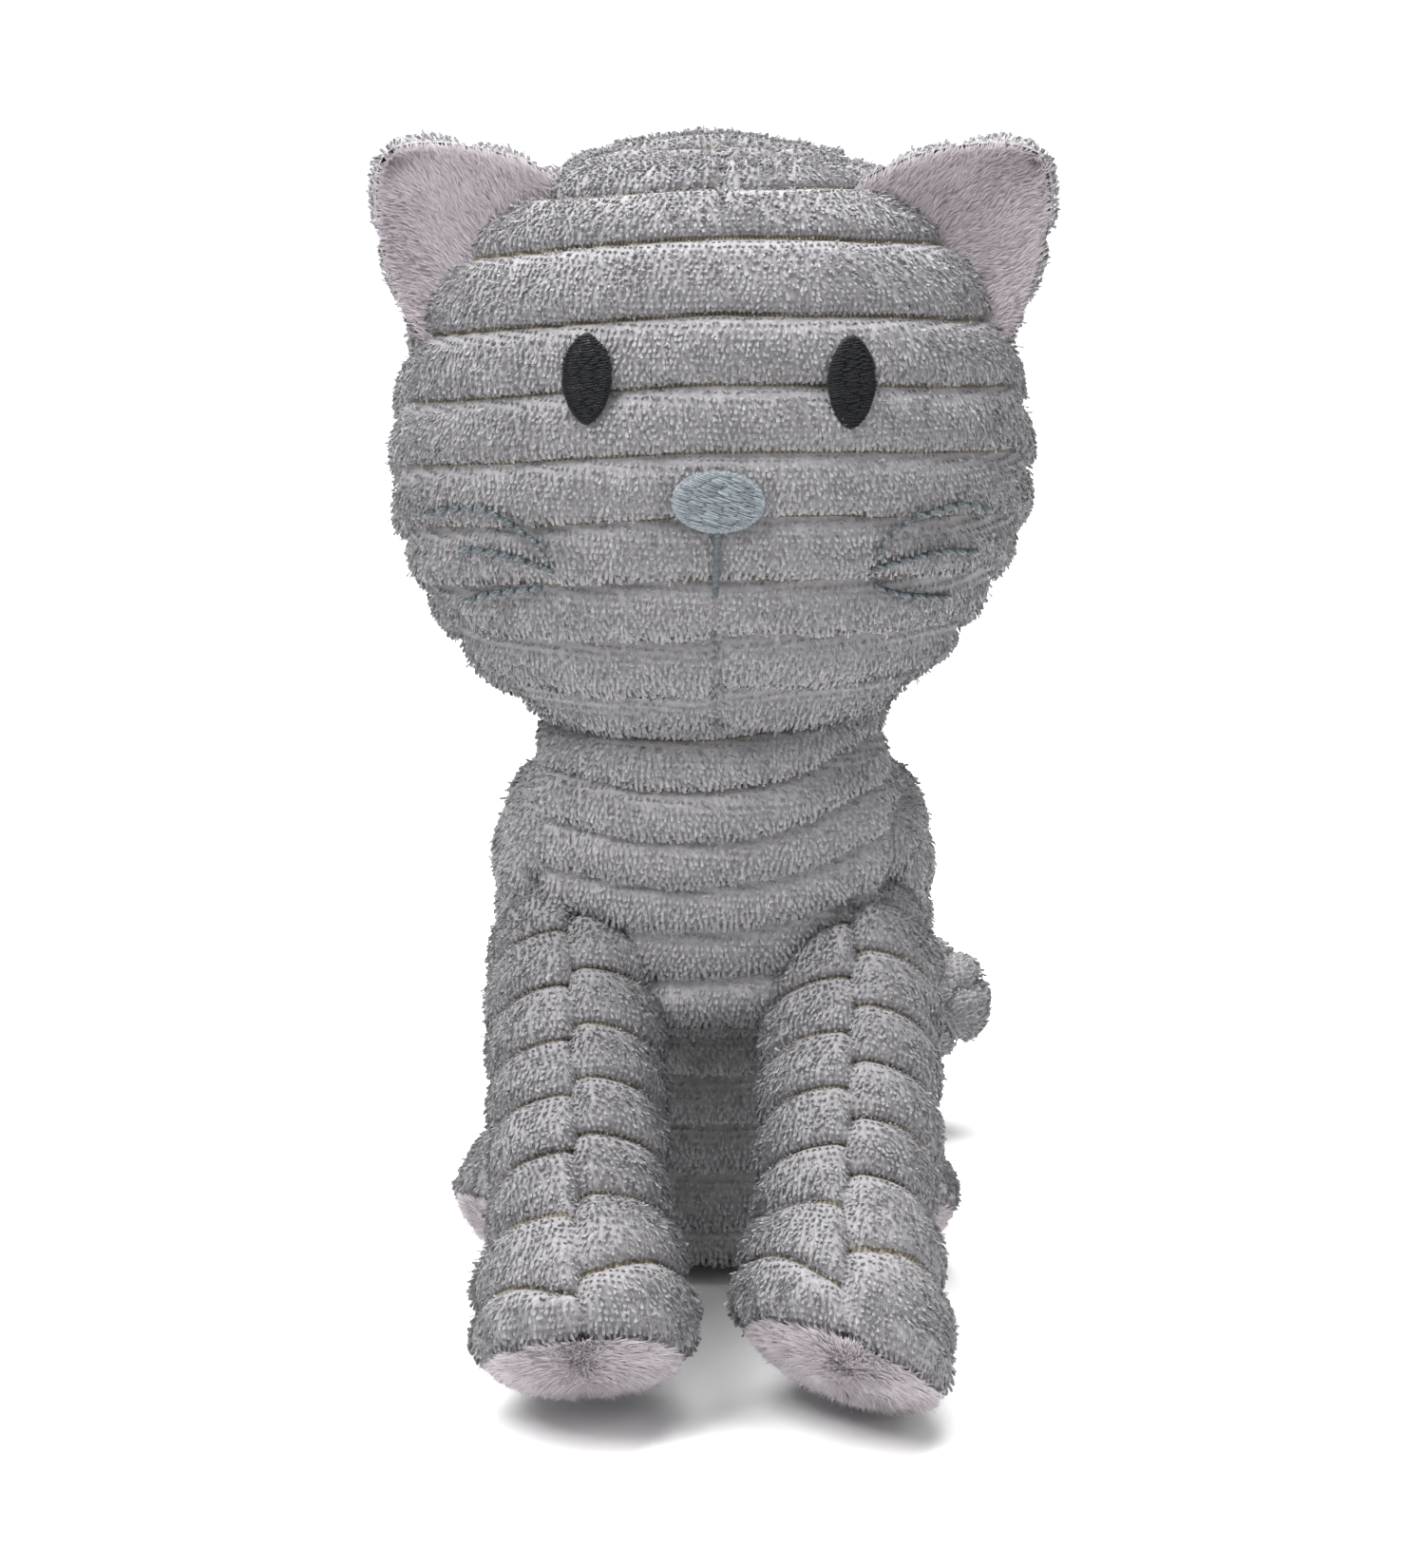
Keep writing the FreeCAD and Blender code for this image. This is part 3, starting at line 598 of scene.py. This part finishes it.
# Height, middle Y, half width and half depth of the torso's cloth, from the seat to inside the head.
TORSO_OUTLINE = (
    (2.0, 0.0, 30.0, 29.0),
    (4.0, 0.0, 34.5, 33.5),
    (10.0, -1.0, 37.0, 35.5),
    (24.0, -4.0, 37.2, 35.5),
    (40.0, -10.0, 36.6, 34.0),
    (55.0, -17.0, 35.4, 32.5),
    (70.0, -22.5, 35.6, 32.5),
    (80.0, -26.0, 35.8, 32.0),
    (90.0, -28.5, 34.2, 31.0),
    (98.0, -30.0, 30.4, 29.6),
    (108.0, -30.0, 27.0, 27.0),
    (117.0, -30.0, 20.0, 20.0),
    (121.0, -30.0, 4.0, 4.0),
)
CHEST_SEAM = 29.0
CHEST_FOLD = 58.0         # the chest's last rib hangs free down to here, in the middle
# How much higher a chest groove is, from the viewer's left side to the right.
CHEST_SLANT = ((-32, 2.0), (-20, 0.7), (-8, 0.0), (8, 1.2), (20, 4.2), (28, 7.0), (34, 8.0))
BELLY_PITCH = 9.6
LEAN = unit(np.array([0.0, -0.40, 0.92]))     # the way the ribs of the sides and back climb


def neck_pivot_point(above):
    """A point on the neck's axis, some millimetres over the pivot, in metres."""
    return tuple((neck_pivot + Z * above) * MM)


def make_torso():
    """The torso's one cover, from the seat to the neck inside the head."""
    rows, columns = 200, 240
    outline = np.array(TORSO_OUTLINE)
    steps = np.hypot(np.diff(outline[:, 0]), np.diff(outline[:, 2]))
    path = np.concatenate([[0], np.cumsum(steps)])
    travel = np.linspace(path[-1], 0, rows)
    height, middle, wide, deep = curve(np.column_stack([path, outline]), travel)
    turn = np.linspace(0, 2 * math.pi, columns, endpoint=False)[None, :]
    height, middle, wide, deep = (values[:, None] for values in (height, middle, wide, deep))
    points = np.stack([wide * np.cos(turn), middle + deep * np.sin(turn), height + 0 * turn], -1)
    front = np.sin(turn) + 0 * height < 0
    chest = front & (np.abs(points[..., 0]) < CHEST_SEAM)
    back = ~front & (np.abs(points[..., 0]) < CHEST_SEAM)
    rise, = curve(CHEST_SLANT, points[..., 0])
    rise = rise * smooth(45, 70, points[..., 2])
    level = points[..., 2] - rise
    # The free rib at the chest's foot is a full one, those over it lie closer, and the belly's
    # ribs under the fold are counted on their own.
    above = (level - CHEST_FOLD - 8.0) / RIB_PITCH
    below = (level - CHEST_FOLD) / BELLY_PITCH
    slanted = points @ LEAN
    phase = np.where(points[..., 0] < 0, 0.45, 0.55)
    rib = np.where(chest, np.where(level > CHEST_FOLD, np.maximum(above, above * 1.3), below),
                   slanted / RIB_PITCH + phase)
    rib = np.where(back, slanted / RIB_PITCH + 0.1, rib) + 0.03 * noise(points, 15.0, 4)
    along = turn * 36.0 + 0 * height
    cloth = Cloth(points, rib, along, np.broadcast_to(-Z, points.shape))
    upper = smooth(30, 44, points[..., 2])
    for side in (-1, 1):
        line = points[..., 0] - side * CHEST_SEAM
        cloth.seam(line, 1.6, 2.6)
        cloth.push += 1.4 * bump(line + side * 3.4, 3.4) * front * upper
    inner = front * (1 - smooth(19, 26, np.abs(points[..., 0])))
    over = level - CHEST_FOLD
    cloth.push += 2.8 * inner * bump(over - 4.0, 9.0) * (over > -1)
    cloth.push -= 4.4 * inner * smooth(0.8, -1.2, over)
    cloth.push -= 6.0 * inner * smooth(-5.0, -8.5, over) * smooth(2, 22, points[..., 2])
    cloth.high = cloth.high * smooth(0.5, 7.0, points[..., 2]) + 0.4
    cloth.pile = cloth.pile * (0.3 + 0.7 * smooth(0.2, 3.0, points[..., 2]))
    turned = ("torso", "neck", neck_pivot_point(-14), neck_pivot_point(4))

    def covered(at):
        return (at[:, 2] < NECK_SHOWN) & (at[:, 2] > SEAT_BARE)

    split_y = -18.0
    halves = (("_front", lambda at: (at[:, 1] < split_y) & covered(at)),
              ("_back", lambda at: (at[:, 1] >= split_y) & covered(at)))
    cover("torso_cover", cloth, "torso",
          ("chest_panel", "belly_panel", "back_panel", "side_panel_left", "side_panel_right", "seat_panel",
           "torso_stuffing", "pellet_bag", "pellet_fill", "neck_stuffing"), turned, halves=halves)


# ---------------------------------------------------------------- limbs

class Limb:
    """A bent axis with a frame at each step: where it runs, its side direction and its upper direction."""

    def __init__(self, places, side):
        self.places = places
        self.along = unit(np.gradient(places, axis=0))
        self.side = unit(side - self.along * (self.along @ side)[:, None])
        self.top = np.cross(self.side, self.along)
        self.travel = np.concatenate([[0], np.cumsum(np.linalg.norm(np.diff(places, axis=0), axis=1))])


def limb_cloth(limb, wide, thick_top, thick_low, columns, phases, pitch):
    """A tube round a limb's axis. Its two panels meet at the top and underneath, out of step."""
    turn = np.linspace(0, 2 * math.pi, columns, endpoint=False)[None, :]
    cosine, sine = np.cos(turn), np.sin(turn)
    thick = np.where(sine > 0, thick_top[:, None], thick_low[:, None])
    points = (limb.places[:, None] + limb.side[:, None] * (wide[:, None] * cosine)[..., None]
              + limb.top[:, None] * (thick * sine)[..., None])
    phase = np.where(cosine < 0, phases[0], phases[1])
    rib = limb.travel[:, None] / pitch + phase + 0.03 * noise(points, 12.0, 8)
    comb = np.broadcast_to(limb.along[:, None], points.shape)
    cloth = Cloth(points, rib, turn * 16.0 + 0 * rib, comb)
    cloth.seam(cosine * wide[:, None] + 60 * (np.abs(sine) < 0.5), 1.3, 2.2)
    cosine, sine = cosine + 0 * rib, sine + 0 * rib
    if (cloth.normals() * (points - limb.places[:, None])).sum() < 0:
        cloth.turn_over()
        cosine, sine = cosine[:, ::-1], sine[:, ::-1]
    return cloth, cosine, sine


def disc_cloth(middle, side, top, out, wide, deep, dome, rings, columns):
    """A round pad: rings about a middle, domed outward."""
    radius = np.linspace(0.001, 1, rings)[:, None]
    turn = np.linspace(0, 2 * math.pi, columns, endpoint=False)[None, :]
    points = (middle + side * (wide * radius * np.cos(turn))[..., None]
              + top * (deep * radius * np.sin(turn))[..., None]
              + out * (dome * (1 - radius ** 3.0) + 0 * turn)[..., None])
    rib = np.full(points.shape[:2], 0.5)
    comb = unit(side * np.cos(turn)[..., None] + top * np.sin(turn)[..., None] - 0.6 * top + 0 * points)
    return Cloth(points, rib, radius * 10 + 0 * turn, comb)


# Millimetres past the pivot, half width, half thickness toward the toe, and toward the heel.
FRONT_LEG_OUTLINE = (
    (-18.0, 0.5, 0.5, 0.5),
    (-16.0, 4.0, 5.0, 5.0),
    (-10.0, 8.0, 9.0, 9.0),
    (0.0, 11.8, 12.2, 12.2),
    (22.0, 12.6, 12.4, 12.6),
    (46.0, 12.6, 12.4, 12.8),
    (57.0, 12.8, 12.8, 13.0),
    (63.0, 14.4, 15.4, 14.0),
    (70.0, 15.6, 17.6, 15.2),
    (76.0, 15.8, 18.0, 15.6),
    (80.5, 15.0, 17.0, 15.4),
    (82.0, 13.6, 15.2, 14.2),
)
HIND_LEG_OUTLINE = (
    (-14.0, 0.5, 0.5, 0.5),
    (-12.0, 5.0, 5.0, 5.0),
    (-5.0, 9.6, 9.6, 9.6),
    (4.0, 10.6, 10.6, 10.6),
    (14.0, 11.2, 11.6, 10.8),
    (21.0, 11.4, 11.8, 10.6),
    (24.5, 10.6, 11.0, 10.0),
    (26.0, 9.2, 9.6, 9.0),
)


def make_leg(body, start, end, outline, columns, phases, pitch, turn_in, turn_down):
    """One leg: a tube, a wider foot, and a velour sole turned in and down by some share."""
    knots = np.array(outline)
    travel = np.linspace(knots[0, 0], knots[-1, 0], round(1.5 * (knots[-1, 0] - knots[0, 0])))
    wide, toe, heel = curve(knots, travel)
    out = unit(end - start)
    limb = Limb(start + out * travel[:, None], X)
    limb.top = np.where((limb.top @ (Z - Y))[:, None] < 0, -limb.top, limb.top)
    limb.travel = travel
    cloth, cosine, sine = limb_cloth(limb, wide, toe, heel, columns, phases, pitch)
    foot = smooth(knots[-1, 0] * 0.62, knots[-1, 0] * 0.9, travel)[:, None]
    lengthen = turn_in * cosine * wide[:, None] + turn_down * sine * toe[:, None]
    cloth.points = cloth.points + out * (foot * lengthen)[..., None]
    close = smooth(knots[-1, 0], knots[-1, 0] - 6, travel)[:, None]
    cloth.high = cloth.high * (close + 0 * cosine)
    # The toe's knit line dips to a point at the seam, and the cloth is gathered round the sole.
    cloth.rib = cloth.rib - 0.28 * foot * bump(cosine, 0.8) * (sine > 0)
    cloth.rib = np.where(travel[:, None] > knots[-1, 0] - 8.0 * foot, np.floor(cloth.rib) + 0.5, cloth.rib)
    ring = np.arctan2(sine, cosine)
    folds = 0.5 + 0.5 * np.cos(11 * ring + 2 * np.sin(3 * ring))
    gather = bump(travel[:, None] - knots[-1, 0] + 5.0, 5.5) * folds
    cloth.push -= 1.5 * gather * foot
    cover(body + "_cover", cloth, body, (body + "_outer_panel", body + "_inner_panel", body + "_stuffing"))
    side = unit(limb.side[-1] + out * turn_in)
    top = unit(limb.top[-1] + out * turn_down)
    facing = unit(np.cross(side, top))
    facing = facing * np.sign(facing @ out)
    middle = limb.places[-1] + top * (toe[-1] - heel[-1]) / 2
    sole = disc_cloth(middle, side, top, facing, wide[-1] * math.hypot(1, turn_in) + 1.2,
                      (toe[-1] + heel[-1]) / 2 * math.hypot(1, turn_down) + 1.2, 3.0, 46, 120)
    sole.high = sole.high * 0
    velour(body + "_sole_pad", sole, body, (body + "_sole",))


def make_legs():
    # Side, where the outer and inner panels' ribs start, and how far the sole turns in.
    legs = (("left", -1, (0.68, 0.98), 0.0), ("right", 1, (0.80, 0.30), 0.36))
    for word, side, phases, turn_in in legs:
        pivot = joint_place("front_leg_%s_swing" % word)
        foot = np.array([side * 21.2, pivot[1] - 60.0, pivot[2] - 52.5])
        body = "front_leg_" + word
        make_leg(body, pivot, foot, FRONT_LEG_OUTLINE, 120, phases, 11.2, turn_in, 0.28)
        pivot = joint_place("hind_leg_%s_lift" % word)
        start = pivot + np.array([-side * 1.0, 2.0, 9.0])
        foot = pivot + np.array([side * (9.0 if side < 0 else 4.5), -18.0, -4.4])
        body = "hind_leg_" + word
        make_leg(body, start, foot, HIND_LEG_OUTLINE, 90, (0.2, 0.7), 9.4, -0.2 * side, 0.4)


TAIL_RADIUS = 9.0


def make_tail():
    """The tail: a tube that leaves the back, swings round to +X and lifts at its end."""
    pivot = joint_place("tail_wag")
    low, high = box_of("tail_top_panel", "tail_bottom_panel")
    reach = high[0] - pivot[0] - 10.6
    angle = np.linspace(-0.30, 1.83, 160)
    lift = (high[2] - low[2] - 16.0) * (1 - np.cos(np.clip(angle, 0, 2))) / 1.26
    bend = reach / 1.15
    places = pivot + np.stack([bend * (1 - np.cos(angle)), 34.0 * np.sin(angle), lift + 0.8], -1)
    limb = Limb(places, Z)
    share = np.linspace(0, 1, 160)
    close = np.clip(1 - np.clip((share - 0.88) / 0.12, 0, 1) ** 2.4, 0.0005, 1)
    root = np.clip(1 - np.clip((0.06 - share) / 0.06, 0, 1) ** 2.2, 0.002, 1)
    radius = TAIL_RADIUS * np.sqrt(close * root)
    cloth, _, _ = limb_cloth(limb, radius, radius, radius, 90, (0.3, 0.75), 9.0)
    cover("tail_cover", cloth, "tail", ("tail_top_panel", "tail_bottom_panel", "tail_stuffing"))


# ---------------------------------------------------------------- ears

def make_ear(word):
    """A cupped triangle: velour in front, ribbed plush behind."""
    hinge = joint_entry("ear_%s_fold" % word)
    axis = unit(np.array(hinge["axis"], float))
    up = np.cross(axis, Y)
    up = unit(up if up[2] > 0 else -up)
    base = np.array(hinge["pos_m"]) / MM + Z * 2.0
    half_base, long = 18.0, 26.0
    rows, columns = 60, 70
    rise = np.linspace(-0.14, 1, rows)[:, None]
    across = np.linspace(-1, 1, columns)[None, :]
    width = half_base * (1 - np.clip(rise, 0, 1) ** 1.5) ** 0.70 + 0.05
    cup = 4.6 * (1 - across ** 2) * (1 - 0.55 * rise) + 1.5 * rise ** 2
    rim = np.sqrt(np.clip(1 - across ** 4, 0, 1)) * np.sqrt(np.clip(1 - np.clip(rise, 0, 1) ** 5, 0, 1))
    body = "ear_" + word
    # The lining faces forward; the back is larger by a little, so it shows round the lining.
    for facing, full, grow_by in ((-1, 1.3, 0.0), (1, 3.2, 0.5)):
        bulge = full * rim
        points = (base + axis * ((width + grow_by) * across)[..., None]
                  + up * ((long + grow_by) * rise + 0 * across)[..., None]
                  + Y * (cup + facing * bulge)[..., None])
        rib = long * rise / RIB_PITCH + 0.4 + 0 * across
        comb = unit(up + 0.5 * across[..., None] * axis + 0 * points)
        cloth = Cloth(points, rib, half_base * across + 0 * rise, comb, ring=False)
        cloth.pile = cloth.pile * (1 - 0.35 * np.abs(across) ** 8)
        if (cloth.normals()[rows // 2, columns // 2] @ Y) * facing < 0:
            cloth.turn_over()
            rim = rim[:, ::-1]
        if facing < 0:
            cloth.high = cloth.high * 0
            velour(body + "_lining_cover", cloth, body, (body + "_lining",), lining_pile, 2.1, 12.0)
        else:
            cloth.high = cloth.high * 0.8 * rim
            cover(body + "_back_cover", cloth, body, (body + "_back",))


# ---------------------------------------------------------------- embroidery

def face_surface(cloth):
    """Reads the face's outer surface: gives points just over the plush at some (x, z) places."""
    points = cloth.points + cloth.normals() * (RIB_HIGH + 0.5)
    front = points[..., 1] < HEAD_MIDDLE[1]
    flat = points[front]

    def at(x, z):
        x, z = np.broadcast_arrays(np.asarray(x, float), np.asarray(z, float))
        result = np.empty(x.shape)
        for index in np.ndindex(x.shape):
            distance = (flat[:, 0] - x[index]) ** 2 + (flat[:, 2] - z[index]) ** 2
            near = np.argpartition(distance, 6)[:6]
            weight = 1 / (distance[near] + 0.05)
            result[index] = (flat[near, 1] * weight).sum() / weight.sum()
        return np.stack([x, result, z], -1)

    return at


def strand(path, radius):
    """Corner points and faces of a thread along a path."""
    sides = 6
    path = np.asarray(path, float)
    along = unit(np.gradient(path, axis=0))
    first = unit(np.cross(along, Y + 0.01 * X))
    second = np.cross(along, first)
    turn = np.linspace(0, 2 * math.pi, sides, endpoint=False)
    size = np.full(len(path), radius)
    size[0] = size[-1] = radius * 0.3
    ring = (first[:, None] * np.cos(turn)[:, None] + second[:, None] * np.sin(turn)[:, None])
    points = path[:, None] + ring * size[:, None, None]
    return points.reshape(-1, 3), grid_faces(len(path), sides, True)


def join_strands(name, strands, material, body, node_name):
    """One object from many threads."""
    points, faces, tones = [], [], []
    start = 0
    for index, (corners, quads) in enumerate(strands):
        points.append(corners)
        faces.append(quads + start)
        tones.append(np.full(len(corners), (index * 0.618) % 1))
        start += len(corners)
    item = new_mesh(name, np.concatenate(points), np.concatenate(faces), material,
                    (("tone", np.concatenate(tones)),))
    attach(item, body)
    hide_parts(node_name)


def satin_oval(at, middle, half_wide, half_high, lean, spacing, proud, taper, sharp, seed):
    """Rows of satin stitch that fill an oval, tapered or pointed, each row broken into shorter stitches."""
    rng = np.random.default_rng(seed)
    strands = []
    reach = math.hypot(half_high, lean * half_wide)
    square = 1 / half_wide ** 2 + (lean / half_high) ** 2
    for offset in np.arange(-reach, reach, spacing):
        share = offset / reach
        centre = -offset * lean / half_high ** 2 / square
        half = math.sqrt(max(0.0, centre ** 2 + (1 - (offset / half_high) ** 2) / square))
        half *= (1 - share ** 2) ** ((sharp - 1) / 2) * (1 + taper * share)
        if half < 0.3:
            continue
        start = centre - half + rng.uniform(-0.2, 0.2)
        while start < centre + half - 0.2:
            stop = min(start + rng.uniform(2.0, 3.4), centre + half + rng.uniform(-0.2, 0.25))
            spots = np.linspace(start, stop, 6)
            arch = proud + 0.16 * np.sin(np.linspace(0, math.pi, 6)) + rng.uniform(-0.06, 0.06)
            x = middle[0] + spots
            z = middle[1] + offset + lean * spots + rng.uniform(-0.06, 0.06)
            path = at(x, z)
            inside = (1 - ((spots - centre) / half_wide) ** 2 - share ** 2).clip(0, 1)
            path[:, 1] -= arch + 0.6 * np.sqrt(inside)
            strands.append(strand(path, spacing * 0.55))
            start = stop - 0.15
    return strands


def border(at, middle, half_wide, half_high, count, long, proud, sharp):
    """Short stitches side by side round an oval's edge."""
    strands = []
    for step in range(count):
        angle = 2 * math.pi * step / count
        outward = np.array([math.cos(angle), math.sin(angle)])
        share = np.linspace(-0.5, 0.5, 5) * long
        wide = outward[0] * abs(outward[0]) ** (sharp - 1) * half_wide
        x = middle[0] + wide + share * (outward[0] + 0.5 * outward[1])
        z = middle[1] + outward[1] * half_high + share * (outward[1] - 0.5 * outward[0])
        path = at(x, z)
        path[:, 1] -= proud + 0.35 * np.sin(np.linspace(0.3, math.pi - 0.3, 5))
        strands.append(strand(path, 0.2))
    return strands


# Whisker stitch lines on each side of the face: x, and height over the head's middle, from cheek to nose.
WHISKERS = {
    "left": (
        ((-49.1, -6.4), (-44.4, -4.6), (-39.4, -3.9), (-34.6, -5.5), (-30.6, -8.0), (-27.5, -9.9)),
        ((-42.9, -11.5), (-39.6, -11.0), (-34.7, -11.5), (-29.9, -12.7), (-26.3, -13.8)),
        ((-42.1, -20.9), (-38.2, -18.9), (-33.2, -17.6), (-27.6, -16.7)),
    ),
    "right": (
        ((47.1, -5.6), (44.0, -3.9), (40.6, -3.5), (36.6, -4.4), (32.6, -5.4), (28.6, -8.6), (27.1, -11.0)),
        ((45.0, -12.6), (39.2, -11.4), (33.5, -11.9), (29.5, -12.7), (25.8, -13.5)),
        ((40.3, -20.1), (35.3, -19.1), (30.4, -18.0), (26.4, -16.1)),
    ),
}


def make_whiskers(at, word):
    """Dashes of twisted thread along each whisker's line."""
    strands = []
    dash = 2.4
    for knots in WHISKERS[word]:
        knots = np.array(knots)
        travel = np.concatenate([[0], np.cumsum(np.linalg.norm(np.diff(knots, axis=0), axis=1))])
        where = np.linspace(0, travel[-1], 90)
        x, z = curve(np.column_stack([travel, knots]), where)
        path = at(x, HEAD_MIDDLE[2] + z)
        for step in range(round(travel[-1] / dash)):
            inside = (where >= step * dash) & (where <= (step + 1.04) * dash)
            piece = path[inside]
            arch = np.sin(np.linspace(0, math.pi, len(piece)))
            piece = piece + np.outer(-0.3 - 1.0 * arch, Y)
            for twist in (0, math.pi):
                wind = twist + np.linspace(0, 2.2 * math.pi, len(piece))
                coil = np.outer(0.22 * np.cos(wind), Z) + np.outer(0.22 * np.sin(wind), Y)
                strands.append(strand(piece + coil, 0.38))
    join_strands("whisker_stitches_" + word, strands, whisker_thread, "head",
                 "whiskers_" + word)


def make_embroidery(cloth):
    """Eyes, nose, mouth line and whiskers, stitched on the face."""
    at = face_surface(cloth)
    eyes = (("left", (-20.8, 18.3), (4.1, 7.2), 0.2), ("right", (22.6, 17.7), (4.0, 7.4), 0.05))
    for word, (x, high), (wide, tall), taper in eyes:
        middle = (x, HEAD_MIDDLE[2] + high)
        strands = satin_oval(at, middle, wide, tall, 0.14, 0.40, 0.7, taper, 1.35, 3)
        strands += border(at, middle, wide * 0.90, tall * 0.96, 110, 0.9, 0.6, 1.35)
        join_strands("eye_%s_stitches" % word, strands, eye_thread, "head",
                     "eye_%s_embroidery" % word)
    nose = (0.7, HEAD_MIDDLE[2] - 1.4)
    strands = satin_oval(at, nose, 7.6, 5.0, -0.32, 0.36, 0.8, 0.0, 1.0, 5)
    strands += border(at, nose, 7.2, 4.7, 130, 1.2, 0.8, 1.0)
    join_strands("nose_stitches", strands, nose_thread, "head", "nose_embroidery")
    strands = []
    for height in np.arange(0, 10.8, 0.36):
        z = nose[1] - 5.2 - height
        x = nose[0] - 0.04 * height
        path = at(x + np.linspace(-0.62, 0.62, 5), z + np.linspace(-0.25, 0.25, 5))
        path[:, 1] -= 0.9 + 0.3 * np.sin(np.linspace(0.2, math.pi - 0.2, 5))
        strands.append(strand(path, 0.22))
    join_strands("mouth_stitches", strands, whisker_thread, "head", "mouth_line_embroidery")
    for word in WHISKERS:
        make_whiskers(at, word)


# ---------------------------------------------------------------- studio

# Metres from here on; the lens is in millimetres.
CAMERA_PLACE = (-0.0002, -0.700, 0.230)
CAMERA_TARGET = (-0.0002, -0.030, 0.0935)
LENS = 87.7


def aim(item, target):
    direction = np.array(target) - np.array(item.location)
    item.rotation_mode = "QUATERNION"
    item.rotation_quaternion = Vector(direction).to_track_quat("-Z", "Y")


def make_studio():
    lens = bpy.data.cameras.new("camera")
    lens.lens = LENS
    lens.clip_start, lens.clip_end = 0.01, 20
    camera = bpy.data.objects.new("camera", lens)
    camera.location = CAMERA_PLACE
    bpy.context.scene.collection.objects.link(camera)
    aim(camera, CAMERA_TARGET)
    bpy.context.scene.camera = camera
    material, tree, surface = shader("floor_white", 0.75)
    tree.links.new(blend_colours(tree, place_noise(tree, 0.004), (0.93, 0.93, 0.935), (0.96, 0.96, 0.96)),
                   surface.inputs["Base Color"])
    # A floor that curves up far behind, as a studio sweep.
    flat, bend, steps, strips = 0.6, 900.0, 60, 12
    sweep = np.linspace(0, 1, steps)
    curl = (sweep - flat) / (1 - flat) * math.pi / 2
    depth = np.where(sweep < flat, -3000 + sweep / flat * 5000, 2000 + bend * np.sin(curl))
    rise = np.where(sweep < flat, -0.2, bend * (1 - np.cos(curl)))
    across = np.linspace(-4000, 4000, strips)
    points = np.stack(np.broadcast_arrays(across[None], depth[:, None], rise[:, None]), -1)
    floor = new_mesh("floor", points.reshape(-1, 3), grid_faces(steps, strips, False), material)
    world = bpy.data.worlds.new("studio")
    bpy.context.scene.world = world
    world.use_nodes = True
    world.node_tree.nodes["Background"].inputs["Color"].default_value = (1, 1, 1, 1)
    world.node_tree.nodes["Background"].inputs["Strength"].default_value = 0.45
    bpy.context.scene.view_settings.view_transform = "Standard"
    # Name, place, size and power of each lamp; the last one lights only the sweep.
    for name, place, size, power in (
        ("key", (-0.50, -0.55, 1.05), 0.6, 16.0),
        ("fill", (0.75, -0.65, 0.55), 0.8, 2.6),
        ("top", (0.05, 0.05, 1.20), 0.8, 22.0),
        ("sweep", (0.0, 0.9, 1.30), 1.5, 40.0),
    ):
        lamp = bpy.data.lights.new(name, "AREA")
        lamp.size = size
        lamp.energy = power
        item = bpy.data.objects.new(name, lamp)
        item.location = place
        bpy.context.scene.collection.objects.link(item)
        aim(item, (0, 2.8, 0.5) if name == "sweep" else (0, -0.03, 0.1))


make_studio()
head = make_head()
make_torso()
make_legs()
make_tail()
for ear_word in ("left", "right"):
    make_ear(ear_word)
make_embroidery(head)
